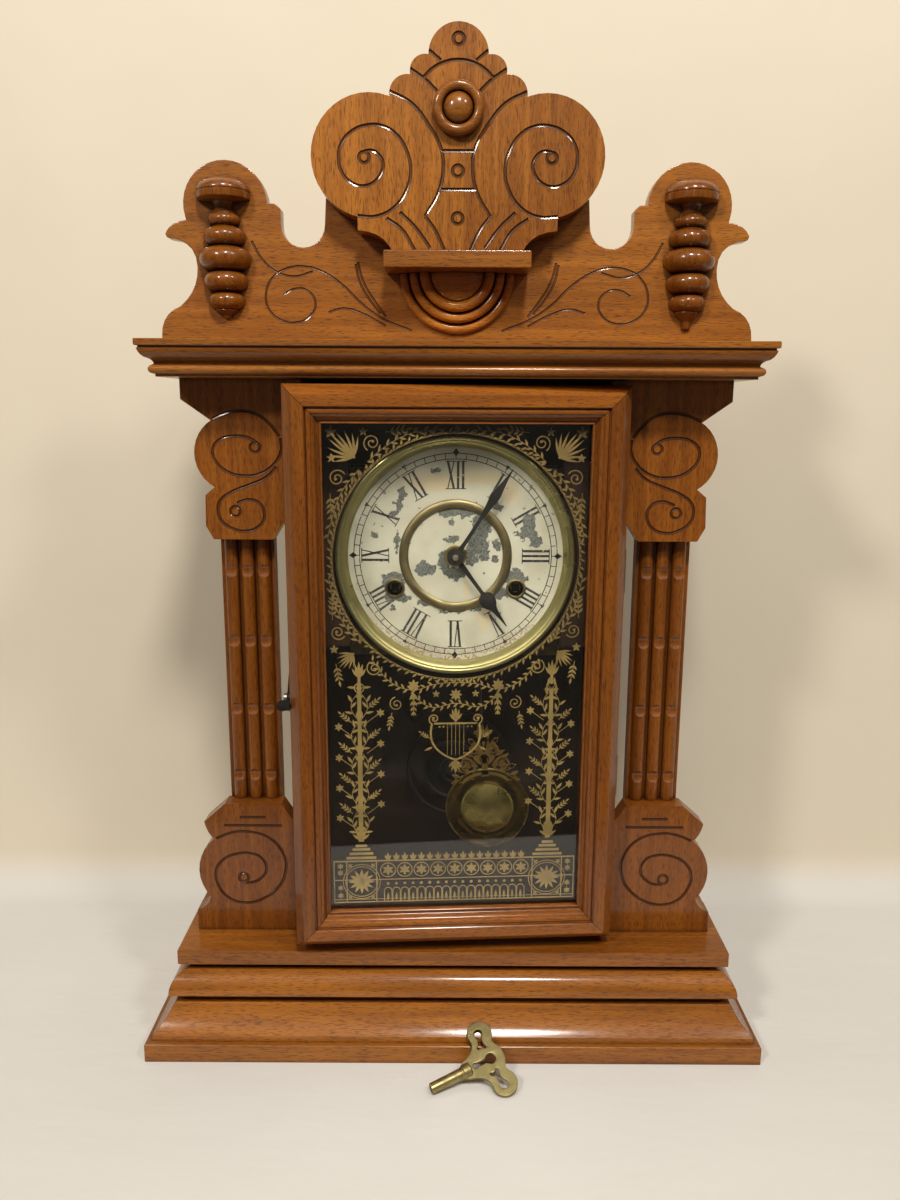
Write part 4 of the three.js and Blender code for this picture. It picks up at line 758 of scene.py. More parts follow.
# ---- Finials ----
# Long drops turned in walnut, split down the middle and glued on: a mushroom cap with a scored
# band, a thin neck, a stack of five beads and a tip, worn short on the left one. Darker than
# the boards.
finial_beads = [
    (9.8, 9.6, 18.2), (11.8, 18.9, 29.0), (13.8, 29.6, 41.2), (11.3, 41.9, 51.2), (8.7, 52.2, 58.2),
]
finial_tips = {
    "left": [(0, 4.6), (1.2, 4.7), (2.2, 5.4), (2.5, 6.6), (3.6, 7.4), (5.0, 8.0), (6.4, 8.9)],
    "right": [(0, 0), (1.5, 0.1), (2.4, 0.8), (2.6, 3.6), (3.2, 5.0), (5.0, 6.6), (6.4, 8.6)],
}
finial_profile = []
for radius, foot, top in finial_beads:
    rise = (top - foot) / 2
    for across, up in arc(0, 0, 1, -80, 80, 14):
        finial_profile.append((radius - rise * (1 - across), (foot + top) / 2 + rise * up))
finial_profile += bend((6.0, 59.0), (4.0, 61.5), (6.0, 64.0), 6)
finial_profile += [
    (13.2, 65.0), (14.0, 65.4), (14.2, 66.0), (14.2, 68.4), (13.7, 68.8), (13.7, 69.2), (14.0, 69.5),
]
finial_profile += [(14.0 * r, 69.6 + 6.9 * z) for r, z in arc(0, 0, 1, 4, 90, 14)]
finial_profile[-1] = (0, 76.5)
for side_name in ("left", "right"):
    low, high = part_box("finial_" + side_name)
    place = ((low.x + high.x) / 2, high.y, low.z)
    outline = finial_tips[side_name] + finial_profile
    half = turned("finial_" + side_name + "_turned", outline, place, walnut_dark, "Z", (180, 360), 48)
    stand_for(half, "finial_" + side_name)

# ---- Door frame ----
# Four mitred strips: a chamfered outer edge, a flat, a quirk, an ogee and a small fillet round
# the glass. The door hangs a few degrees open on its hinges, with the hook lifted off.
hinge_x, hinge_y = 92.6 * mm, -24.1 * mm
door_ajar = 3.6
door_half, door_thick = 91.0, 17.7
door_foot, door_head = 66.5, 381.4
door_front = -41.9
door_turn = (
    Matrix.Translation((hinge_x, hinge_y, 0))
    @ Matrix.Rotation(math.radians(door_ajar), 4, "Z")
    @ Matrix.Translation((-hinge_x, -hinge_y, 0))
)
# inset from the outer edge and depth behind the front, in mm
door_section = [
    (0, door_thick), (0, 6.0), (0.3, 5.4), (4.7, 0.5), (5.3, 0), (11.2, 0), (11.5, 0.3), (11.5, 1.6),
    (11.9, 1.7), *arc(13.4, 3.3, 1.9, 226, 312, 7), *bend((15.0, 2.6), (16.6, 3.2), (16.9, 4.9), 6),
    *bend((17.0, 5.1), (17.6, 6.4), (18.9, 6.3), 5), (19.1, 5.6), (19.7, 5.5), (20, 5.8), (20, 9.0),
    (15, 9.0), (15, door_thick),
]


def hung(piece):
    """Turns a piece made for the shut door to where the door stands."""
    piece.data.transform(door_turn)
    return piece


def door_strip(node, start, end, wood):
    stand_for(hung(moulded(node + "_moulded", door_section, start, end, wood)), node)


# The door strips take the darker walnut: painted shade.
for side_name, side in (("left", -1), ("right", 1)):
    door_strip(
        "door_stile_" + side_name,
        lambda i, d: (side * (door_half - i) * mm, (door_front + d) * mm, (door_foot + i) * mm + mitre_gap),
        lambda i, d: (side * (door_half - i) * mm, (door_front + d) * mm, (door_head - i) * mm - mitre_gap),
        walnut_painted_shade_z,
    )
for rail_name, edge, side in (("top", door_head, -1), ("bottom", door_foot, 1)):
    door_strip(
        "door_rail_" + rail_name,
        lambda i, d: ((-door_half + i) * mm + mitre_gap, (door_front + d) * mm, (edge + side * i) * mm),
        lambda i, d: ((door_half - i) * mm - mitre_gap, (door_front + d) * mm, (edge + side * i) * mm),
        walnut_painted_shade_x,
    )

# ---- Door glass ----
# A clear pane held in the rabbet, with a stencilled ornament on its back in bronze powder and
# varnish: a leaf wreath round the dial, vine staffs at the sides, a lyre and a pierced border.


def pane_material():
    material, nodes, shader, out = new_material("clear_old_glass")
    shader.inputs["Base Color"].default_value = (0.98, 0.99, 0.98, 1)
    shader.inputs["Transmission Weight"].default_value = 1.0
    shader.inputs["IOR"].default_value = 1.45
    ripple = nodes.step(nodes.noise(nodes.place(), 25.0, 1.0), 0.4, 0.8)
    nodes.feed(shader.inputs["Roughness"], nodes.times(ripple, 0.02))
    clear = nodes.add("ShaderNodeBsdfTransparent").outputs[0]
    lamps = nodes.add("ShaderNodeLightPath").outputs["Is Shadow Ray"]
    both = nodes.add("ShaderNodeMixShader", {0: lamps, 1: shader.outputs[0], 2: clear})
    nodes.feed(out.inputs["Surface"], both.outputs[0])
    return material


def bronze_powder():
    """Dull gold, painted darker towards the top of the pane: painted shadow."""
    material, nodes, shader, _ = new_material("bronze_powder")
    place = nodes.place()
    patch = nodes.noise(place, 60.0, 3.0)
    grain = nodes.noise(place, 1400.0, 2.0)
    color = nodes.mix(nodes.step(patch, 0.35, 0.7), (0.18, 0.125, 0.036, 1), (0.27, 0.19, 0.058, 1))
    color = nodes.mix(nodes.times(grain, 0.35), color, (0.16, 0.10, 0.03, 1))
    # Painted shadow over the upper part of the pane.
    painted_shadow_gold = nodes.mix(1.0, color, (0.60, 0.56, 0.46, 1), "MULTIPLY")
    upper = nodes.step(nodes.part(place, "Z"), 0.20, 0.29)
    nodes.feed(shader.inputs["Base Color"], nodes.mix(upper, color, painted_shadow_gold))
    nodes.feed(shader.inputs["Roughness"], nodes.math("MULTIPLY_ADD", grain, 0.2, 0.42))
    shader.inputs["Metallic"].default_value = 0.35
    return material


wear(pane_material(), "door_glass")
gilt = bronze_powder()
gilt_face = -30.66  # just behind the back of the pane, for the shut door
gilt_thickness = 0.05


def plates(name, outlines, front, thickness, material):
    """Thin flat pieces lying upright, from outlines of (x, z) in mm."""
    points, faces = [], []
    for outline in outlines:
        first, count = len(points), len(outline)
        points += [(x * mm, front * mm, z * mm) for x, z in outline]
        points += [(x * mm, (front + thickness) * mm, z * mm) for x, z in outline]
        faces += [range(first, first + count), range(first + 2 * count - 1, first + count - 1, -1)]
        for i in range(count):
            n = (i + 1) % count
            faces.append((first + i, first + n, first + n + count, first + i + count))
    piece = mesh_object(name, points, [tuple(face) for face in faces], material)
    with reshaped(piece.data) as shape:
        bmesh.ops.recalc_face_normals(shape, faces=shape.faces)
    return piece


leaf_edge = [(0, 0), (0.2, 0.34), (0.45, 0.5), (0.7, 0.36), (1, 0), (0.7, -0.36), (0.45, -0.5), (0.2, -0.34)]


def leaf(x, z, angle, length, width, curl=0.0):
    """A pointed leaf from its foot, at an angle in degrees from +X."""
    c, s = math.cos(math.radians(angle)), math.sin(math.radians(angle))
    outline = []
    for t, half in leaf_edge:
        along, across = t * length, half * width + curl * length * t * t
        outline.append((x + along * c - across * s, z + along * s + across * c))
    return outline


def bar(x0, z0, x1, z1, width, end_width=None):
    length = math.hypot(x1 - x0, z1 - z0)
    nx, nz = -(z1 - z0) / length / 2, (x1 - x0) / length / 2
    end = width if end_width is None else end_width
    return [(x0 + nx * width, z0 + nz * width), (x0 - nx * width, z0 - nz * width),
            (x1 - nx * end, z1 - nz * end), (x1 + nx * end, z1 + nz * end)]


def dot(x, z, radius, steps=12):
    return arc(x, z, radius, 0, 360, steps)[:-1]


def hoop(x, z, radius, width, start=0, end=360, steps=24):
    """An arc of even width, as a run of short bars."""
    outer, inner = (arc(x, z, radius + side * width / 2, start, end, steps) for side in (1, -1))
    return [[outer[i], outer[i + 1], inner[i + 1], inner[i]] for i in range(steps)]


def blossom(x, z, radius, petals, turn=90):
    petal = min(0.5, 3.4 / petals)
    shapes = [leaf(x, z, turn + 360 * i / petals, radius, radius * petal) for i in range(petals)]
    return shapes + [dot(x, z, radius * 0.2, 8)]


def fan(x, z, angle, lengths, spread, width):
    """A palmette: leaves fanned from one foot, the longest in the middle."""
    shapes = [leaf(x, z, angle, lengths[0], width)]
    for i, length in enumerate(lengths[1:], 1):
        for side in (1, -1):
            shapes.append(leaf(x, z, angle + side * spread * i, length, width * 0.85, -side * 0.12))
    return shapes + [dot(x, z, width * 0.45, 8)]


def ribbon(spots, width):
    return [bar(*a, *b, width) for a, b in zip(spots, spots[1:])]


def scroll(x, z, radius, start, turns, width, inward=0.2, flip=1):
    """A spiral ribbon that tightens to a dot."""
    steps = int(18 * turns)
    spots = []
    for i in range(steps + 1):
        t = i / steps
        reach = radius * (1 - (1 - inward) * t)
        angle = math.radians(start + flip * 360 * turns * t)
        spots.append((x + reach * math.cos(angle), z + reach * math.sin(angle)))
    return ribbon(spots, width) + [dot(*spots[-1], width * 1.3, 8)]


def repeat_tree():
    nodes, given = geometry_tree(
        "repeated",
        [("Piece", "Object"), ("Count", "Int"), ("First", "Vector"), ("Step", "Vector"), ("Turn", "Float"),
         ("Material", "Material")],
    )
    index = nodes.add("GeometryNodeInputIndex").outputs[0]
    inputs = {0: given["Step"], "Scale": index}
    moved = nodes.add("ShaderNodeVectorMath", inputs, operation="SCALE").outputs[0]
    spot = nodes.vector("ADD", given["First"], moved)
    points = nodes.add("GeometryNodePoints", {"Count": given["Count"], "Position": spot}).outputs[0]
    angle = nodes.times(index, given["Turn"])
    turn = nodes.add("ShaderNodeCombineXYZ", {"Y": angle}).outputs[0]
    piece = nodes.add("GeometryNodeObjectInfo", {"Object": given["Piece"]}).outputs["Geometry"]
    inputs = {"Points": points, "Instance": piece, "Rotation": turn}
    placed = nodes.add("GeometryNodeInstanceOnPoints", inputs).outputs[0]
    return end_tree(nodes, placed, given["Material"])


repeated = repeat_tree()


def repeat(name, piece, count, first, step, turn, material):
    """Copies of one piece set in a row or round a circle. The piece itself is used up."""
    row = mesh_object(name, [], [])
    values = {
        "Piece": piece, "Count": count, "First": first, "Step": step, "Turn": turn, "Material": material,
    }
    grown(row, repeated, values)
    bpy.data.objects.remove(piece)
    return row


def stem_tree():
    nodes, given = geometry_tree(
        "leafy_stem",
        [("Path", "Object"), ("Leaf", "Object"), ("Stem Radius", "Float"), ("Leaf Spacing", "Float"),
         ("Lean", "Float"), ("Flatness", "Float"), ("Front", "Float"), ("Material", "Material")],
    )
    path = nodes.add("GeometryNodeObjectInfo", {"Object": given["Path"]}).outputs["Geometry"]
    circle = nodes.add("GeometryNodeCurvePrimitiveCircle", {"Resolution": 6, "Radius": given["Stem Radius"]})
    inputs = {"Curve": path, "Profile Curve": circle.outputs[0], "Fill Caps": True}
    stem = nodes.add("GeometryNodeCurveToMesh", inputs).outputs[0]
    squash = nodes.add("ShaderNodeCombineXYZ", {"X": 1.0, "Y": given["Flatness"], "Z": 1.0}).outputs[0]
    stem = nodes.add("GeometryNodeTransform", {"Geometry": stem, "Scale": squash}).outputs[0]
    inputs = {"Curve": path, "Length": given["Leaf Spacing"]}
    points = nodes.add("GeometryNodeCurveToPoints", inputs, mode="LENGTH")
    inputs = {"Primary Axis": points.outputs["Tangent"], "Secondary Axis": (0, 1, 0)}
    along = nodes.add("FunctionNodeAxesToRotation", inputs, primary_axis="X", secondary_axis="Y").outputs[0]
    piece = nodes.add("GeometryNodeObjectInfo", {"Object": given["Leaf"]}).outputs["Geometry"]
    index = nodes.add("GeometryNodeInputIndex").outputs[0]
    odd = nodes.math("MULTIPLY_ADD", nodes.math("MODULO", index, 2.0), 2.0, -1.0)
    lean = nodes.times(given["Lean"], odd)
    by = nodes.add("ShaderNodeCombineXYZ", {"Y": lean}).outputs[0]
    by = nodes.add("FunctionNodeEulerToRotation", {0: by}).outputs[0]
    inputs = {"Rotation": along, "Rotate By": by}
    turned_leaf = nodes.add("FunctionNodeRotateRotation", inputs, rotation_space="LOCAL").outputs[0]
    inputs = {"Points": points.outputs["Points"], "Instance": piece, "Rotation": turned_leaf}
    leaves = nodes.add("GeometryNodeInstanceOnPoints", inputs).outputs[0]
    both = nodes.add("GeometryNodeJoinGeometry", {0: stem})
    nodes.feed(both.inputs[0], leaves)
    move = nodes.add("ShaderNodeCombineXYZ", {"Y": given["Front"]}).outputs[0]
    placed = nodes.add("GeometryNodeTransform", {"Geometry": both.outputs[0], "Translation": move}).outputs[0]
    return end_tree(nodes, placed, given["Material"])


leafy_stem = stem_tree()


def vine(name, paths, leaf_size, spacing, lean=38, stem=0.24):
    """Stems along paths of (x, z) in mm, with leaves set left and right in turn."""
    path = drawn(name + "_path", paths, lambda x, z: (x * mm, 0, z * mm), 8)
    shape = plates(name + "_leaf", [leaf(0, 0, 0, *leaf_size)], -gilt_thickness / 2, gilt_thickness, gilt)
    piece = mesh_object(name, [], [])
    values = {
        "Path": path, "Leaf": shape, "Stem Radius": stem * mm, "Leaf Spacing": spacing * mm,
        "Lean": math.radians(lean), "Flatness": 0.1, "Front": (gilt_face + gilt_thickness / 2) * mm,
        "Material": gilt,
    }
    grown(piece, leafy_stem, values)
    bpy.data.objects.remove(path)
    bpy.data.objects.remove(shape)
    return piece


dial_z = 288.0
wreath_z, wreath_radius = 289.6, 67.0  # drawn on the glass, so that it clears the bezel behind it
border_foot, border_tier, border_head = 89.6, 103.4, 115.0
staff_x, staff_foot, staff_head = 53.5, 127.0, 224.0
row_start = -38.4  # x of the first arch, wheel and crest of the border


def sprig(x, z, angle, size):
    """A little stem with three pairs of leaves and one at its tip."""
    turn = math.radians(angle)
    shapes = [bar(x, z, x + size * math.cos(turn), z + size * math.sin(turn), 0.35)]
    for step in (0.25, 0.5, 0.75):
        foot = (x + step * size * math.cos(turn), z + step * size * math.sin(turn))
        for side in (-1, 1):
            shapes.append(leaf(*foot, angle + side * 42, size * 0.34, size * 0.12))
    tip = (x + size * math.cos(turn), z + size * math.sin(turn))
    return shapes + [leaf(*tip, angle, size * 0.36, size * 0.14)]


def gilt_half():
    """The single motifs of the right half."""
    shapes = []
    # spandrels over the dial
    shapes += fan(54.5, 344.0, 45, [17, 16, 15, 13, 11], 16, 1.7)
    shapes += scroll(45.0, 351.5, 4.6, -60, 1.5, 0.6) + scroll(63.5, 333.0, 4.6, 150, 1.5, 0.6, flip=-1)
    shapes += blossom(66.5, 357.0, 3.6, 5) + blossom(66.3, 343.5, 2.6, 5) + blossom(49.5, 357.3, 2.6, 5)
    shapes += sprig(38.0, 357.0, 172, 11) + sprig(67.3, 325.0, -92, 11) + blossom(22.0, 358.2, 2.0, 5)
    # spandrels under it
    shapes += fan(56.5, 237.5, -45, [11, 10, 9, 8], 18, 1.4)
    shapes += scroll(45.0, 229.0, 4.4, 60, 1.5, 0.6, flip=-1) + scroll(64.5, 249.5, 4.2, -150, 1.5, 0.6)
    shapes += blossom(66.8, 240.0, 2.6, 5) + sprig(67.4, 256.5, 92, 11) + sprig(66.0, 232.0, -100, 10)
    # the staff with its stepped foot and its bud
    for width, foot, top in (
        (3.0, staff_foot, 134), (5.0, 134, 136), (2.6, 136, 176), (4.4, 176, 178), (2.2, 178, staff_head - 8)
    ):
        shapes.append(bar(staff_x, foot, staff_x, top, width))
    shapes.append(bar(staff_x, staff_head - 5, staff_x, staff_head, 1.6))
    for height, width in ((117.0, 17), (119.6, 13.5), (122.2, 10), (124.4, 6.5)):
        shapes.append(bar(staff_x - width / 2, height, staff_x + width / 2, height, 1.5))
    shapes += fan(staff_x, staff_foot + 1, 90, [9, 8, 6], 30, 1.9)
    shapes += fan(staff_x, staff_head, 90, [9, 8, 6.5], 22, 2.0) + hoop(staff_x, staff_head - 6, 2.6, 0.6)
    for side in (-1, 1):
        for height in (140, 158, 176, 194):
            foot, tip = height - 4 * side, height + 5 - 4 * side
            shapes.append(bar(staff_x + 4.0 * side, foot, staff_x + 10.6 * side, tip, 0.35))
            shapes += blossom(staff_x + 11.6 * side, tip + 0.6, 2.5, 6)
            shapes += sprig(staff_x + 4.4 * side, foot + 8, 90 - 48 * side, 7.5)
    # festoons and drops under the dial
    shapes += blossom(23.5, 219.0, 3.6, 7) + blossom(11.0, 214.0, 2.2, 5)
    for drop, size in ((214.5, 4.6), (210.5, 4.0), (207.0, 3.4), (204.0, 2.8)):
        for lean in (-30, 0, 30):
            shapes.append(leaf(23.5, drop, -90 + lean, size, size * 0.32))
    shapes += scroll(33.0, 208.5, 4.0, 80, 1.5, 0.5, flip=-1) + sprig(35.5, 203.5, -80, 8)
    # one arm of the lyre
    shapes += scroll(12.0, 199.5, 3.2, -70, 1.3, 0.7)
    arm = bend((13.2, 196.4), (15.8, 187.0), (9.6, 180.8), 8)
    shapes += ribbon(arm + bend(arm[-1], (4.5, 176.4), (0.0, 175.4), 6)[1:], 1.1)
    shapes += [bar(x, 178.2, x, 196.6, 0.3) for x in (2.2, 4.6)]
    shapes += sprig(14.2, 188.0, 35, 6.0) + [leaf(13.0, 183.0, -25, 5.0, 1.5)]
    # one half of the border: rails, a post with a star, and a lattice beside it
    rails = ((border_foot, 0.8), (border_foot + 1.7, 0.4), (border_tier, 0.7), (border_head, 0.9))
    for height, width in rails:
        shapes.append(bar(0, height, 69.6, height, width))
    for x in (staff_x - 8.5, staff_x + 8.5, 69.2):
        shapes.append(bar(x, border_foot, x, border_head, 0.7))
    star_z = (border_foot + border_head) / 2
    shapes += blossom(staff_x, star_z, 7.8, 12)
    shapes += [piece for radius in (9.2, 10.6) for piece in hoop(staff_x, star_z, radius, 0.5, steps=30)]
    for x, z in ((47.0, 92.6), (60.0, 92.6), (47.0, 112.2), (60.0, 112.2)):
        shapes += blossom(x, z, 1.7, 4, 45)
    for z in (93.8, 98.6, 108.0, 112.0):
        shapes += blossom(65.6, z, 2.0, 6)
    return shapes


def gilding():
    shapes = gilt_half()
    shapes += mirrored(shapes)
    shapes += hoop(0, wreath_z, wreath_radius, 0.4, steps=120)
    shapes += blossom(0, 359.2, 1.9, 6)
    shapes += blossom(0, 213.5, 3.6, 8) + [bar(0, 178, 0, 199, 0.3), bar(-12.0, 196.8, 12.0, 196.8, 1.0)]
    shapes += fan(0, 198.5, 90, [8, 7, 5.5], 24, 1.8) + fan(0, 174.8, -90, [8, 7, 5.5], 26, 1.8)
    shapes += [dot(x, 194.9, 0.55, 8) for x in (-9, -6.8, 6.8, 9)]
    pieces = [plates("gilt_motifs", shapes, gilt_face, gilt_thickness, gilt)]

    wreath = [leaf(0, wreath_radius + 0.2, 58, 3.4, 1.3), leaf(1.4, wreath_radius + 0.2, 10, 3.0, 0.9)]
    arch = hoop(0, 6.6, 2.15, 0.6, 0, 180, 10) + [bar(x, 0.4, x, 6.6, 0.6) for x in (-2.15, 2.15)]
    arch += [dot(0, 11.2, 0.9, 8), leaf(0, 0.4, 90, 5.2, 1.5), bar(-0.2, 8.6, 0.2, 8.6, 0.1)]
    wheel = hoop(0, 0, 4.3, 0.6, steps=20) + blossom(0, 0, 3.5, 6)
    cresting = fan(0, 0, 90, [4.6, 3.6], 38, 1.6)
    wheels_z = (border_tier + border_head) / 2
    # the motif, how many copies, where the first stands, how far on the next and how far round
    for name, outlines, count, x, z, step, turn in (
        ("gilt_wreath", wreath, 96, 0, wreath_z, 0, math.tau / 96),
        ("gilt_arcade", arch, 17, row_start, border_foot, 4.8, 0.0),
        ("gilt_wheels", wheel, 9, row_start, wheels_z, 9.6, 0.0),
        ("gilt_cresting", cresting, 17, row_start, border_head + 0.4, 4.8, 0.0),
    ):
        motif = plates(name + "_motif", outlines, 0, gilt_thickness, gilt)
        first = (x * mm, gilt_face * mm, z * mm)
        pieces.append(repeat(name, motif, count, first, (step * mm, 0, 0), turn, gilt))

    sways = []
    for side in (-4.6, 4.6):
        heights = [(math.radians(44 * i), staff_foot + 3 + i * 4.2) for i in range(22)]
        sways.append([(staff_x + side * math.sin(turn), z) for turn, z in heights])
    pieces.append(vine("gilt_side_vines", sways + mirrored(sways), (4.8, 1.5), 3.4, 46, 0.2))
    sprays = [
        [(47.5, 341.5), (38, 349.5), (25, 356.2), (10, 358.6)],
        [(52, 337.5), (61, 326), (66.5, 312), (69.0, 301)],
        [(52.5, 243), (61, 254), (66.3, 267), (68.9, 279)],
    ]
    pieces.append(vine("gilt_corner_sprays", sprays + mirrored(sprays), (4.0, 1.25), 2.5, 36, 0.2))
    swags = [
        [(46, 233.5), (36, 221), (23.5, 216.5), (12, 219.5), (0, 220.5)],
        [(23.5, 213), (14, 206.5), (0, 208.5)],
    ]
    swags = [half + [(-x, z) for x, z in reversed(half[:-1])] for half in swags]
    pieces.append(vine("gilt_festoons", swags, (3.4, 1.2), 2.0, 46, 0.2))
    for piece in pieces:
        hung(piece)
        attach(piece, "door")


gilding()

# ---- Hinges, hook and stud ----
# Pressed brass butts on the right. On the left a blacked wire-thin hook stands raised on its
# screw, off the stud in the side of the case.


def metal(name, bright, dull, share, rough, speck=70.0, metallic=1.0, painted_shade_front=None):
    """Metal, bright and dull in patches, with fine scratches. In front of a given plane it is painted black
    and dull: painted shade.
    """
    material, nodes, shader, _ = new_material(name)
    place = nodes.place()
    patch = nodes.noise(place, speck, 2.0, 0.5)
    fine = nodes.noise(nodes.scaled(place, (300.0, 1500.0, 2600.0)), 1.0, 2.0)
    worn = nodes.step(patch, share - 0.16, share + 0.16)
    color = nodes.mix(worn, (*bright, 1), (*dull, 1))
    shader.inputs["Metallic"].default_value = metallic
    if metallic < 1.0:
        shader.inputs["Specular IOR Level"].default_value = 0.25
    if painted_shade_front is not None:
        front = nodes.step(nodes.part(place, "Y"), painted_shade_front, painted_shade_front - mm)
        color = nodes.mix(front, color, (0.004, 0.004, 0.004, 1))
        nodes.feed(shader.inputs["Metallic"], nodes.math("SUBTRACT", 1.0, front))
        shader.inputs["Specular IOR Level"].default_value = 0.1
    # Darker where ambient occlusion finds crevices: painted shade, with some grime.
    shade = nodes.add("ShaderNodeAmbientOcclusion", {"Distance": 0.002}, samples=4).outputs["AO"]
    grime_and_painted_shade = nodes.mix(nodes.step(shade, 0.2, 0.8), (0.35, 0.30, 0.24, 1), (1, 1, 1, 1))
    nodes.feed(shader.inputs["Base Color"], nodes.mix(1.0, color, grime_and_painted_shade, "MULTIPLY"))
    roughness = nodes.math("MULTIPLY_ADD", worn, 0.18, rough)
    nodes.feed(shader.inputs["Roughness"], nodes.math("MULTIPLY_ADD", fine, 0.08, roughness))
    nodes.feed(shader.inputs["Normal"], nodes.bump(fine, 0.00002, 0.4))
    return material


brass = metal("polished_brass", (0.56, 0.45, 0.17), (0.34, 0.27, 0.10), 0.55, 0.16)
aged_brass = metal("aged_brass", (0.40, 0.33, 0.15), (0.24, 0.20, 0.09), 0.5, 0.30, speck=120.0)
dull_brass = metal("dull_brown_brass", (0.27, 0.22, 0.11), (0.18, 0.145, 0.07), 0.5, 0.30)
spun_brass = metal("spun_green_brass", (0.42, 0.38, 0.17), (0.32, 0.285, 0.125), 0.5, 0.20, speck=25.0)
amber_brass = metal("amber_lacquered_brass", (0.36, 0.23, 0.07), (0.20, 0.125, 0.035), 0.5, 0.26)
blacked = metal("blacked_steel", (0.012, 0.011, 0.010), (0.03, 0.026, 0.022), 0.6, 0.42, metallic=0.3)
steel = metal("dull_steel", (0.42, 0.40, 0.37), (0.22, 0.20, 0.18), 0.5, 0.3)
blue_steel = metal("blued_spring_steel", (0.05, 0.07, 0.12), (0.10, 0.09, 0.08), 0.6, 0.25)
# This iron is painted near black: painted shade inside the case, where the gong, hammer and pendulum rod
# hang.
iron = metal("black_iron", (0.016, 0.015, 0.014), (0.03, 0.02, 0.015), 0.6, 0.6, metallic=0.5)
for place_name in ("lower", "upper"):
    wear(aged_brass, "hinge_case_leaf_" + place_name, "hinge_door_leaf_" + place_name)
wear(blacked, "door_hook")
wear(steel, "hook_screw", "catch_stud")

# ---- Dial ----
# A zinc disc painted cream and printed with black Roman numerals. The paint has flaked to the
# grey metal round the middle, the winding holes and by two and ten o'clock, and has gone tan.

# places of the larger bare patches from the centre of the dial: x, z, half width, half height, mm
bare_patches = [
    (0.7, 24.6, 11, 2.9), (14.7, 17.5, 5.8, 7.6), (12.5, 7.5, 6, 6.5), (15.8, 0, 3.4, 4.4),
    (8.3, -1, 3.8, 5.2), (-6.8, -3.2, 3.8, 6.2), (-0.3, -9.6, 7, 3.6), (-17, -8, 5.8, 3.8),
    (-2.5, 9.6, 4.4, 1.6), (-2.5, 18.8, 1.3, 2.2), (23.8, 6.4, 2, 3.4), (22.7, -2.1, 2.6, 2.2),
    (23.8, 27.3, 2.6, 2), (41, 17.4, 4.2, 6.4), (44.7, 9.6, 3.4, 4.6), (36.5, 11.6, 3, 2.2),
    (-11, 47.2, 3.2, 1.7), (-29.8, 34.3, 2.2, 4), (-32, 27.9, 2.1, 4.4), (-34.6, 23, 2.8, 1.8),
    (-33, 7.6, 1.6, 6.4), (-35.2, -15, 6.4, 6), (-37.8, -24, 2.6, 3.2), (-30.3, -24.1, 4.2, 2.6),
    (-36.2, -30.5, 1.4, 1.6), (-17, -27, 5.6, 2.2), (0, -31.4, 9.5, 1.2), (13, -29.8, 6, 1.6),
    (25, -21.5, 4.8, 3.6), (34.5, -12.5, 6.6, 5), (-45.3, 11.8, 1.9, 1.8), (42.6, 38.6, 1.6, 1.5),
    (-40, 35.4, 1.1, 0.9),
]
# places of the tan stains, likewise
stains = [
    (16.8, -35, 4.5, 8.5), (-13, 41, 17, 5), (12, 44, 13, 4), (30, 36, 5, 7), (6, -19, 1.6, 6),
]


def reach_in(nodes, spot, patch):
    """How far a spot is from the middle of a patch, where 1 is its edge."""
    x, z, half_width, half_height = patch
    away = nodes.vector("SUBTRACT", spot, (x * mm, 0, (dial_z + z) * mm))
    return nodes.length(nodes.scaled(away, (1 / half_width / mm, 0, 1 / half_height / mm)))


def flaking(nodes, place):
    """1 where the paint is gone."""
    inputs = {"Vector": place, "Scale": 330.0, "Detail": 5.0}
    wobble = nodes.add("ShaderNodeTexNoise", inputs).outputs["Color"]
    wobble = nodes.scaled(nodes.vector("SUBTRACT", wobble, (0.5, 0.5, 0.5)), (8 * mm, 0, 8 * mm))
    spot = nodes.vector("ADD", place, wobble)
    nearest = 10.0
    for patch in bare_patches:
        nearest = nodes.math("MINIMUM", reach_in(nodes, spot, patch), nearest)
    large = nodes.math("SUBTRACT", 1.0, nodes.step(nearest, 0.98, 1.03))
    chips = nodes.step(nodes.noise(place, 300.0, 4.0), 0.70, 0.715)
    return nodes.math("MAXIMUM", large, chips)


def bare_zinc(nodes, place):
    """The grit and the colour of the metal under the paint."""
    grit = nodes.noise(place, 1600.0, 3.0, 0.7)
    return grit, nodes.mix(nodes.step(grit, 0.38, 0.66), (0.034, 0.037, 0.031, 1), (0.15, 0.155, 0.132, 1))


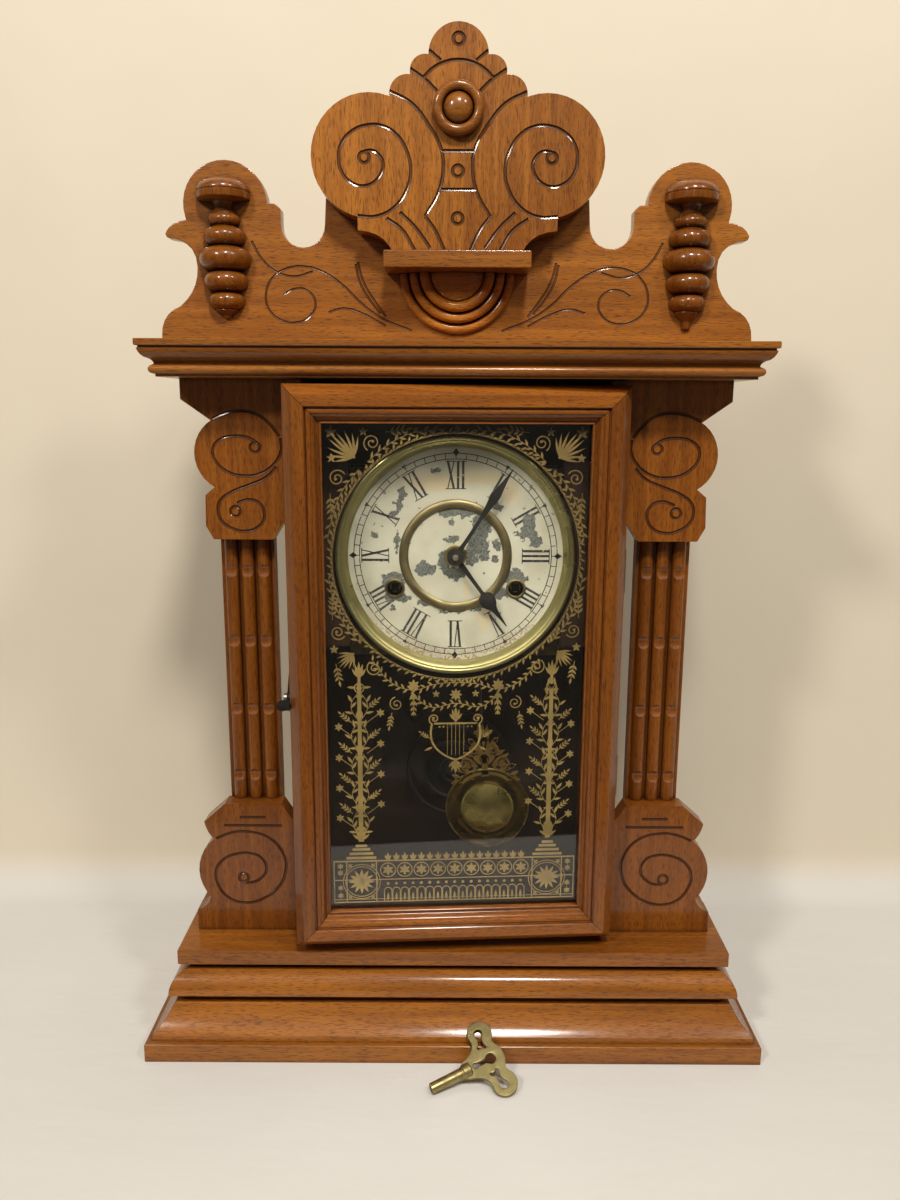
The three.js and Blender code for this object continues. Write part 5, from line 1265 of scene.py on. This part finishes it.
def dial_paint():
    material, nodes, shader, _ = new_material("cream_dial_paint")
    place = nodes.place()
    from_middle = nodes.vector("SUBTRACT", place, (0, 0, dial_z * mm))
    radius = nodes.length(nodes.scaled(from_middle, (1, 0, 1)))
    cloud = nodes.noise(place, 35.0, 3.0)
    color = nodes.mix(nodes.step(cloud, 0.3, 0.75), (0.39, 0.375, 0.29, 1), (0.29, 0.27, 0.195, 1))
    for patch in stains:
        edge = nodes.math("ADD", reach_in(nodes, place, patch), nodes.times(cloud, 0.6))
        stain = nodes.times(nodes.math("SUBTRACT", 1.0, nodes.step(edge, 1.0, 1.45)), 0.6)
        color = nodes.mix(stain, color, (0.42, 0.33, 0.19, 1))
    # rusty specks gather along the foot of the bezel
    height = nodes.part(from_middle, "Z")
    low_edge = nodes.times(nodes.step(radius, 52 * mm, 60 * mm), nodes.step(height, -28 * mm, -50 * mm))
    speck = nodes.step(nodes.noise(place, 700.0, 2.0), 0.46, 0.56)
    color = nodes.mix(nodes.times(nodes.times(low_edge, speck), 0.8), color, (0.20, 0.115, 0.045, 1))
    bare = flaking(nodes, place)
    grit, zinc = bare_zinc(nodes, place)
    nodes.feed(shader.inputs["Base Color"], nodes.mix(bare, color, zinc))
    nodes.feed(shader.inputs["Roughness"], nodes.math("MULTIPLY_ADD", bare, 0.22, 0.34))
    height = nodes.math("MULTIPLY_ADD", bare, -1.0, nodes.times(grit, 0.35))
    nodes.feed(shader.inputs["Normal"], nodes.bump(height, 0.00012, 0.8))
    return material


def dial_ink():
    """Black printing that has gone where the paint under it has."""
    material, nodes, shader, _ = new_material("dial_ink")
    place = nodes.place()
    wear_off = nodes.step(nodes.noise(place, 900.0, 2.0), 0.62, 0.72)
    grit, zinc = bare_zinc(nodes, place)
    color = nodes.mix(nodes.times(wear_off, 0.75), (0.014, 0.013, 0.012, 1), (0.34, 0.32, 0.24, 1))
    nodes.feed(shader.inputs["Base Color"], nodes.mix(flaking(nodes, place), color, zinc))
    nodes.feed(shader.inputs["Roughness"], nodes.math("MULTIPLY_ADD", grit, 0.15, 0.4))
    return material


wear(dial_paint(), "dial_plate")
ink = dial_ink()
dial_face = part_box("dial_plate")[0].y / mm
numeral_foot, numeral_head = 37.6, 52.8
eyelet_low, eyelet_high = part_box("winding_grommet_right")
winding_hole = ((eyelet_low.x + eyelet_high.x) / 2 / mm, (eyelet_low.z + eyelet_high.z) / 2 / mm)
hole_margin = 5.0  # from the middle of a winding hole to the nearest printing
track_outer, track_inner = 57.2, 54.0
letter_width = {"I": 2.8, "V": 4.9, "X": 5.2}
numerals = ["XII", "I", "II", "III", "IIII", "V", "VI", "VII", "VIII", "IX", "X", "XI"]


def clockwise(outline, degrees):
    """An outline drawn about (0, 0), turned and set on the middle of the dial."""
    c, s = math.cos(math.radians(degrees)), math.sin(math.radians(degrees))
    return [(x * c + z * s, dial_z - x * s + z * c) for x, z in outline]


def beside_holes(shape):
    """The lengths of a bar that lie clear of the two winding holes."""
    (ax, az), (bx, bz), (cx, cz), (dx, dz) = shape

    def sides(t):
        return (ax + (dx - ax) * t, az + (dz - az) * t), (bx + (cx - bx) * t, bz + (cz - bz) * t)

    lengths, start = [], None
    for i in range(41):
        t = i / 40
        near, far = sides(t)
        x, z = (near[0] + far[0]) / 2, (near[1] + far[1]) / 2
        clear = math.hypot(abs(x) - winding_hole[0], z - winding_hole[1]) > hole_margin
        if clear and start is None:
            start = t
        if start is not None and (not clear or i == 40):
            if t > start:
                lengths.append([*sides(start), far, near])
            start = None
    return lengths


def numeral(text, hour):
    """Bars of one numeral, its head towards the rim."""
    width = sum(letter_width[letter] for letter in text)
    bars = [bar(-width / 2 - 0.3, z, width / 2 + 0.3, z, 0.5) for z in (numeral_foot, numeral_head)]
    left = -width / 2
    for letter in text:
        slant = letter_width[letter] / 2 - 0.9
        middle = left + letter_width[letter] / 2
        if letter == "I":
            bars.append(bar(middle, numeral_foot, middle, numeral_head, 1.35))
        else:
            foot_slant = slant if letter == "X" else 0.0
            bars.append(bar(middle - slant, numeral_head, middle + foot_slant, numeral_foot, 1.3))
            bars.append(bar(middle + slant, numeral_head, middle - foot_slant, numeral_foot, 0.6))
        left += letter_width[letter]
    return [length for shape in bars for length in beside_holes(clockwise(shape, 30 * hour))]


def dial_printing():
    shapes = [bar for radius in (track_outer, track_inner) for bar in hoop(0, dial_z, radius, 0.5, steps=120)]
    for hour, text in enumerate(numerals):
        shapes += numeral(text, hour)
    sheet = 0.02
    pieces = [plates("dial_numerals", shapes, dial_face - sheet, sheet, ink)]
    middle = (0, (dial_face - sheet) * mm, dial_z * mm)
    low, high = track_outer - 1.9, track_outer + 0.9
    marks = {
        "dial_minutes": (bar(0, track_inner, 0, track_outer, 0.45), 60),
        "dial_arrows": ([(0, low), (1.3, high), (-1.3, high)], 12),
        "dial_quarters": ([(0, low), (1.7, high - 0.4), (0, high + 1.9), (-1.7, high - 0.4)], 4),
    }
    for name, (outline, count) in marks.items():
        mark = plates(name + "_mark", [outline], 0, sheet * 1.2, ink)
        pieces.append(repeat(name, mark, count, middle, (0, 0, 0), math.tau / count, ink))
    for piece in pieces:
        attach(piece, "case")


dial_printing()

# ---- Bezel, centre ring and winding grommets ----
# Spun brass: a rolled outer bead with a wide sloping inner face that mirrors the dial, a plain
# half-round ring inside the numerals, and two eyelets for the winding holes.
spun_foot = dial_face - 0.2  # where the spun brass starts, just in front of the dial
bezel_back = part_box("dial_bezel")[1].y / mm
bezel_profile = [
    (60.5, spun_foot), (60.5, -15.0), (60.9, -15.6),
    *bend((61.4, -16.2), (62.6, -19.2), (64.0, -19.7), 10), *arc(65.8, -18.9, 1.6, 210, 400, 16),
    (67.5, -17.6), (67.5, bezel_back), (63.7, bezel_back), (63.7, spun_foot),
]
centre = (0, 0, dial_z * mm)
stand_for(turned("dial_bezel_spun", bezel_profile, centre, spun_brass, steps=160, loop=True), "dial_bezel")
ring_middle, ring_half = 29.2, 2.6
ring_profile = [(ring_middle + ring_half * x, spun_foot + 1.4 * y) for x, y in arc(0, 0, 1, 0, -180, 16)]
centre_ring = turned("dial_centre_ring_spun", ring_profile, centre, dull_brass, steps=140, loop=True)
stand_for(centre_ring, "dial_centre_ring")
for side_name in ("left", "right"):
    low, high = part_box("winding_grommet_" + side_name)
    middle = (low + high) / 2
    outer = (high.x - low.x) / 2 / mm
    profile = [
        (4.3, high.y / mm), (4.3, spun_foot - 0.5), (4.7, spun_foot - 1.0), (outer - 0.6, spun_foot - 0.9),
        (outer, spun_foot - 0.2), (outer, spun_foot), (4.8, spun_foot), (4.8, high.y / mm),
    ]
    name, place = "winding_grommet_" + side_name, (middle.x, 0, middle.z)
    stand_for(turned(name + "_spun", profile, place, dull_brass, steps=48, loop=True), name)

# ---- Hands ----
# Blacked sheet steel: a slim pointed minute hand and a spade hour hand, on a brass collet, with
# the bright end of the arbor in the middle.
blade_lift, blade_thickness = 0.4, 0.7  # how far the blade lies behind the hub's face
hub_radius, hub_thickness = 4.8, 1.3
hand_edge = 0.22


def joined(piece, mesh):
    """Adds another mesh to a piece's own."""
    with reshaped(piece.data, mesh):
        pass


def hand(node, length, stations, degrees):
    """A flat hand with a softened edge, from half widths at shares of its length."""
    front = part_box(node)[0].y / mm
    right = [(half, along * length) for along, half in stations]
    blade = [(-0.2, length)] + [(-x, z) for x, z in reversed(right)] + right + [(0.2, length)]
    blade = plates(node + "_cut", [clockwise(blade, degrees)], front + blade_lift, blade_thickness, blacked)
    hub = clockwise(dot(0, 0, hub_radius, 32), degrees)
    hub = plates(node + "_hub", [hub], front, hub_thickness, blacked)
    for part in (blade, hub):
        rounded(part, hand_edge * mm)
    joined(blade, hub.data)
    bpy.data.objects.remove(hub)
    stand_for(blade, node)


minute_stations = [
    (-0.04, 1.7), (0.04, 1.5), (0.2, 1.0), (0.42, 1.05), (0.56, 1.7), (0.66, 2.55), (0.71, 2.7), (0.77, 2.1),
    (0.88, 1.0),
]
hour_stations = [
    (-0.05, 1.9), (0.06, 1.7), (0.3, 1.15), (0.5, 1.0), (0.53, 1.4), (0.545, 3.2), (0.57, 4.1), (0.61, 4.45),
    (0.66, 4.3), (0.70, 3.5), (0.735, 2.2), (0.78, 1.5), (0.88, 0.9),
]
hand("minute_hand", 58.0, minute_stations, 32.6)
hand("hour_hand", 49.3, hour_stations, 143.6)
collet_foot = dial_face - 0.4
collet_profile = [(3.4, collet_foot), (3.4, -16.2), (5.4, -16.2), (6.2, -15.4), (6.2, collet_foot)]
collet = turned("hand_collet", collet_profile, centre, brass, steps=48, loop=True)
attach(collet, "case")
arbor_profile = [(0, -22.0), (1.5, -22.0), (1.5, -23.0), (1.2, -23.4), (0, -23.4)]
arbor_end = turned("hand_arbor_end", arbor_profile, centre, steel, steps=32)
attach(arbor_end, "minute")

# ---- Movement ----
# Stamped plates of tarnished brass on pillars with the two main wheels, their blued springs, the
# centre wheel, the escape wheel and the verge strip.
dark_brass = metal("tarnished_plate_brass", (0.11, 0.085, 0.04), (0.06, 0.046, 0.024), 0.5, 0.4)
wear(dark_brass, "movement_plate_front", "movement_plate_back")
wear(brass, "centre_wheel", "escape_wheel")
plate_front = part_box("movement_plate_front")[0].y
# The fronts of the main wheels' arbors, seen through the winding holes, are painted black: painted shade.
wheel_brass = metal(
    "brass_wheel_on_black_arbor", (0.56, 0.45, 0.17), (0.34, 0.27, 0.10), 0.55, 0.2, painted_shade_front=plate_front
)
wear(wheel_brass, "strike_main_wheel", "time_main_wheel")
wear(blue_steel, "strike_mainspring", "time_mainspring")
wear(steel, "verge")

# ---- Pendulum ----
# A thin rod, painted near black as painted shade inside the case, with a pressed brass bob: a domed
# middle in a wide dished rim, and a pierced leaf crest over it. The dish is painted dark, a painted
# reflection of the dark case.
wear(iron, "pendulum_rod")


def bob_brass():
    """Yellow on the dome; the dish round it is painted dark, a painted reflection of the dark case."""
    material = metal("bob_brass", (0.28, 0.225, 0.07), (0.17, 0.135, 0.045), 0.5, 0.2)
    nodes = Nodes(material.node_tree)
    shader = next(node for node in material.node_tree.nodes if node.type == "BSDF_PRINCIPLED")
    radius = nodes.length(nodes.scaled(nodes.vector("SUBTRACT", nodes.place(), bob_middle), (1, 0, 1)))
    # The dish is painted dark: a painted reflection of the dark around it.
    dish = nodes.times(nodes.step(radius, 15 * mm, 16.2 * mm), nodes.step(radius, 24.6 * mm, 23.6 * mm))
    yellow = shader.inputs["Base Color"].links[0].from_socket
    dish_painted_reflection = nodes.mix(nodes.times(dish, 0.93), yellow, (0.055, 0.032, 0.008, 1))
    nodes.feed(shader.inputs["Base Color"], dish_painted_reflection)
    return material


pivot = Vector((7.5 * mm, 0, 322 * mm))
swing = 3.8  # degrees to the viewer's right
bob_drop = 187.0
bob_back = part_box("pendulum_bob")[1].y / mm
pendulum_turn = Matrix.Translation(pivot) @ Matrix.Rotation(-math.radians(swing), 4, "Y")
bob_middle = pendulum_turn @ Vector((0, 0, -bob_drop * mm))


def filigree():
    """The pressed leaf crest, drawn about the middle of the bob."""
    leaves = [
        (2, 27, 62, 12, 4.2), (1, 30, 80, 15, 4.0), (4, 26, 30, 13, 4.6), (9, 24, 8, 10, 3.8),
        (12, 20, -28, 9.5, 3.8), (1, 40, 76, 12, 3.6), (3, 38, 40, 8.5, 3.2), (5, 33, 14, 8.0, 3.0),
        (14, 19, 22, 6.5, 2.8),
    ]
    half = [leaf(*sizes, 0.1) for sizes in leaves]
    half += scroll(10.5, 27.5, 5.4, 200, 1.3, 1.4, flip=1) + scroll(5.6, 37.0, 3.6, 220, 1.2, 1.2, flip=1)
    half += [dot(7.2, 42.2, 1.5), dot(16.2, 25.6, 1.5), dot(4.2, 47.4, 1.2)]
    middle = [leaf(0, 34, 90, 18.5, 4.6), dot(0, 31, 3.0), dot(0, 43.5, 1.8), bar(0, 20, 0, 34, 4.5, 2.5)]
    middle.append([*arc(0, 0, 24.2, 50, 130, 14), *arc(0, 0, 21.0, 130, 50, 14)])
    return half + mirrored(half) + middle


bob_profile = [
    (0, bob_back), (15, bob_back - 0.4), (24.2, -9.4), (25, -10.2), (25, -10.9), (24.5, -11.5),
    (23.6, -11.7), *bend((22.8, -11.3), (19.6, -9.6), (16.6, -10.9), 8), (15.9, -11.3),
    *arc(0, 22.6, 36.6, -64.5, -90, 14)[1:],
]
bob_profile[-1] = (0, bob_profile[-1][1])  # exactly on the axis
bob = turned("pendulum_bob_pressed", bob_profile, (0, 0, -bob_drop * mm), bob_brass(), steps=96)
crest_leaves = plates("pendulum_bob_leaves", filigree(), -11.4, 1.0, amber_brass)
crest_leaves.data.transform(Matrix.Translation((0, 0, -bob_drop * mm)))
rounded(crest_leaves, 0.35 * mm)
for piece in (bob, crest_leaves):
    piece.data.transform(pendulum_turn)
stand_for(bob, "pendulum_bob")
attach(crest_leaves, "pendulum")

# ---- Gong and hammer ----
# A coiled steel gong on an iron block, and a hammer on a bent wire, all painted near black: painted shade
# inside the case.
wear(iron, "gong", "hammer")

# ---- Winding key ----
# A stamped brass bow of two pierced lobes with a keyhole between them, set in the collar of a
# hollow barrel with a square bore. It lies against the plinth, its barrel on the table.
key_tip = (-12 * mm, -86 * mm, 3.1 * mm)
key_slope, key_turn = 28, 26.5
key_barrel, key_collar = 19.0, 24.5  # where the barrel and the collar end along the key, mm
bow_thickness, bow_edge = 2.0, 0.35
key_place = (
    Matrix.Translation(key_tip)
    @ Matrix.Rotation(math.radians(key_slope), 4, "X")
    @ Matrix.Rotation(math.radians(key_turn), 4, "Z")
)
bow_half = [
    (21.0, 4.4), (24.0, 5.6), (28.2, 7.9), (30.6, 10.6), (31.2, 13.2), (30.9, 16.2), (32.0, 19.3),
    (34.9, 21.7), (38.5, 22.3), (42.0, 21.0), (44.4, 18.2), (45.2, 14.6), (44.2, 11.4), (42.9, 9.4),
    (42.6, 7.8), (44.0, 5.2), (45.0, 2.2),
]
slot_half = [
    (32.9, 7.2), (34.9, 7.7), (37.8, 6.4), (37.4, 10.0), (38.0, 12.6), (39.4, 14.6), (39.3, 16.8),
    (37.6, 17.9), (35.6, 17.2), (34.8, 15.4), (35.2, 13.2), (34.7, 10.4),
]
keyhole_slot = [(31.6, 1.0), (28.6, 1.3), (27.4, 1.7), (26.4, 0.8)]


def far_side(half):
    """The same points on the other side of the key, back to the first."""
    return [(u, -v) for u, v in reversed(half)]


def key_bow():
    """The flat bow as a filled outline with its edges rounded."""
    keyhole = arc(37.0, 0, 3.0, -150, 150, 14) + keyhole_slot + far_side(keyhole_slot)
    slots = (slot_half, [(u, -v) for u, v in slot_half])
    outlines = [points + points[:1] for points in (bow_half + far_side(bow_half), *slots, keyhole)]
    curve = drawn("key_bow", outlines, lambda u, v: (u * mm, v * mm, 0), 6)
    curve.data.dimensions = "2D"
    curve.data.fill_mode = "BOTH"
    curve.data.extrude = bow_thickness / 2 * mm - bow_edge * mm
    curve.data.bevel_depth = bow_edge * mm
    curve.data.offset = -bow_edge * mm
    curve.data.bevel_resolution = 2
    graph = bpy.context.evaluated_depsgraph_get()
    mesh = bpy.data.meshes.new_from_object(curve.evaluated_get(graph), depsgraph=graph)
    bpy.data.objects.remove(curve)
    return mesh


barrel_profile = [
    (0, 13), (2.1, 13), (2.1, 0.3), (2.4, 0), (2.8, 0.1), (3.0, 0.5), (3.0, key_barrel - 0.5),
    (3.3, key_barrel - 0.2), (3.3, key_barrel + 0.5), (3.7, key_barrel + 0.9), (3.9, key_barrel + 1.3),
    (3.9, key_collar - 0.5), (3.4, key_collar), (0, key_collar),
]
barrel = turned("winding_key_barrel", barrel_profile, (0, 0, 0), aged_brass, "Z", steps=48)
barrel.data.transform(Matrix.Rotation(math.radians(90), 4, "Y"))
joined(barrel, key_bow())
barrel.data.transform(key_place)
stand_for(smoothed(barrel, 34), "winding_key")
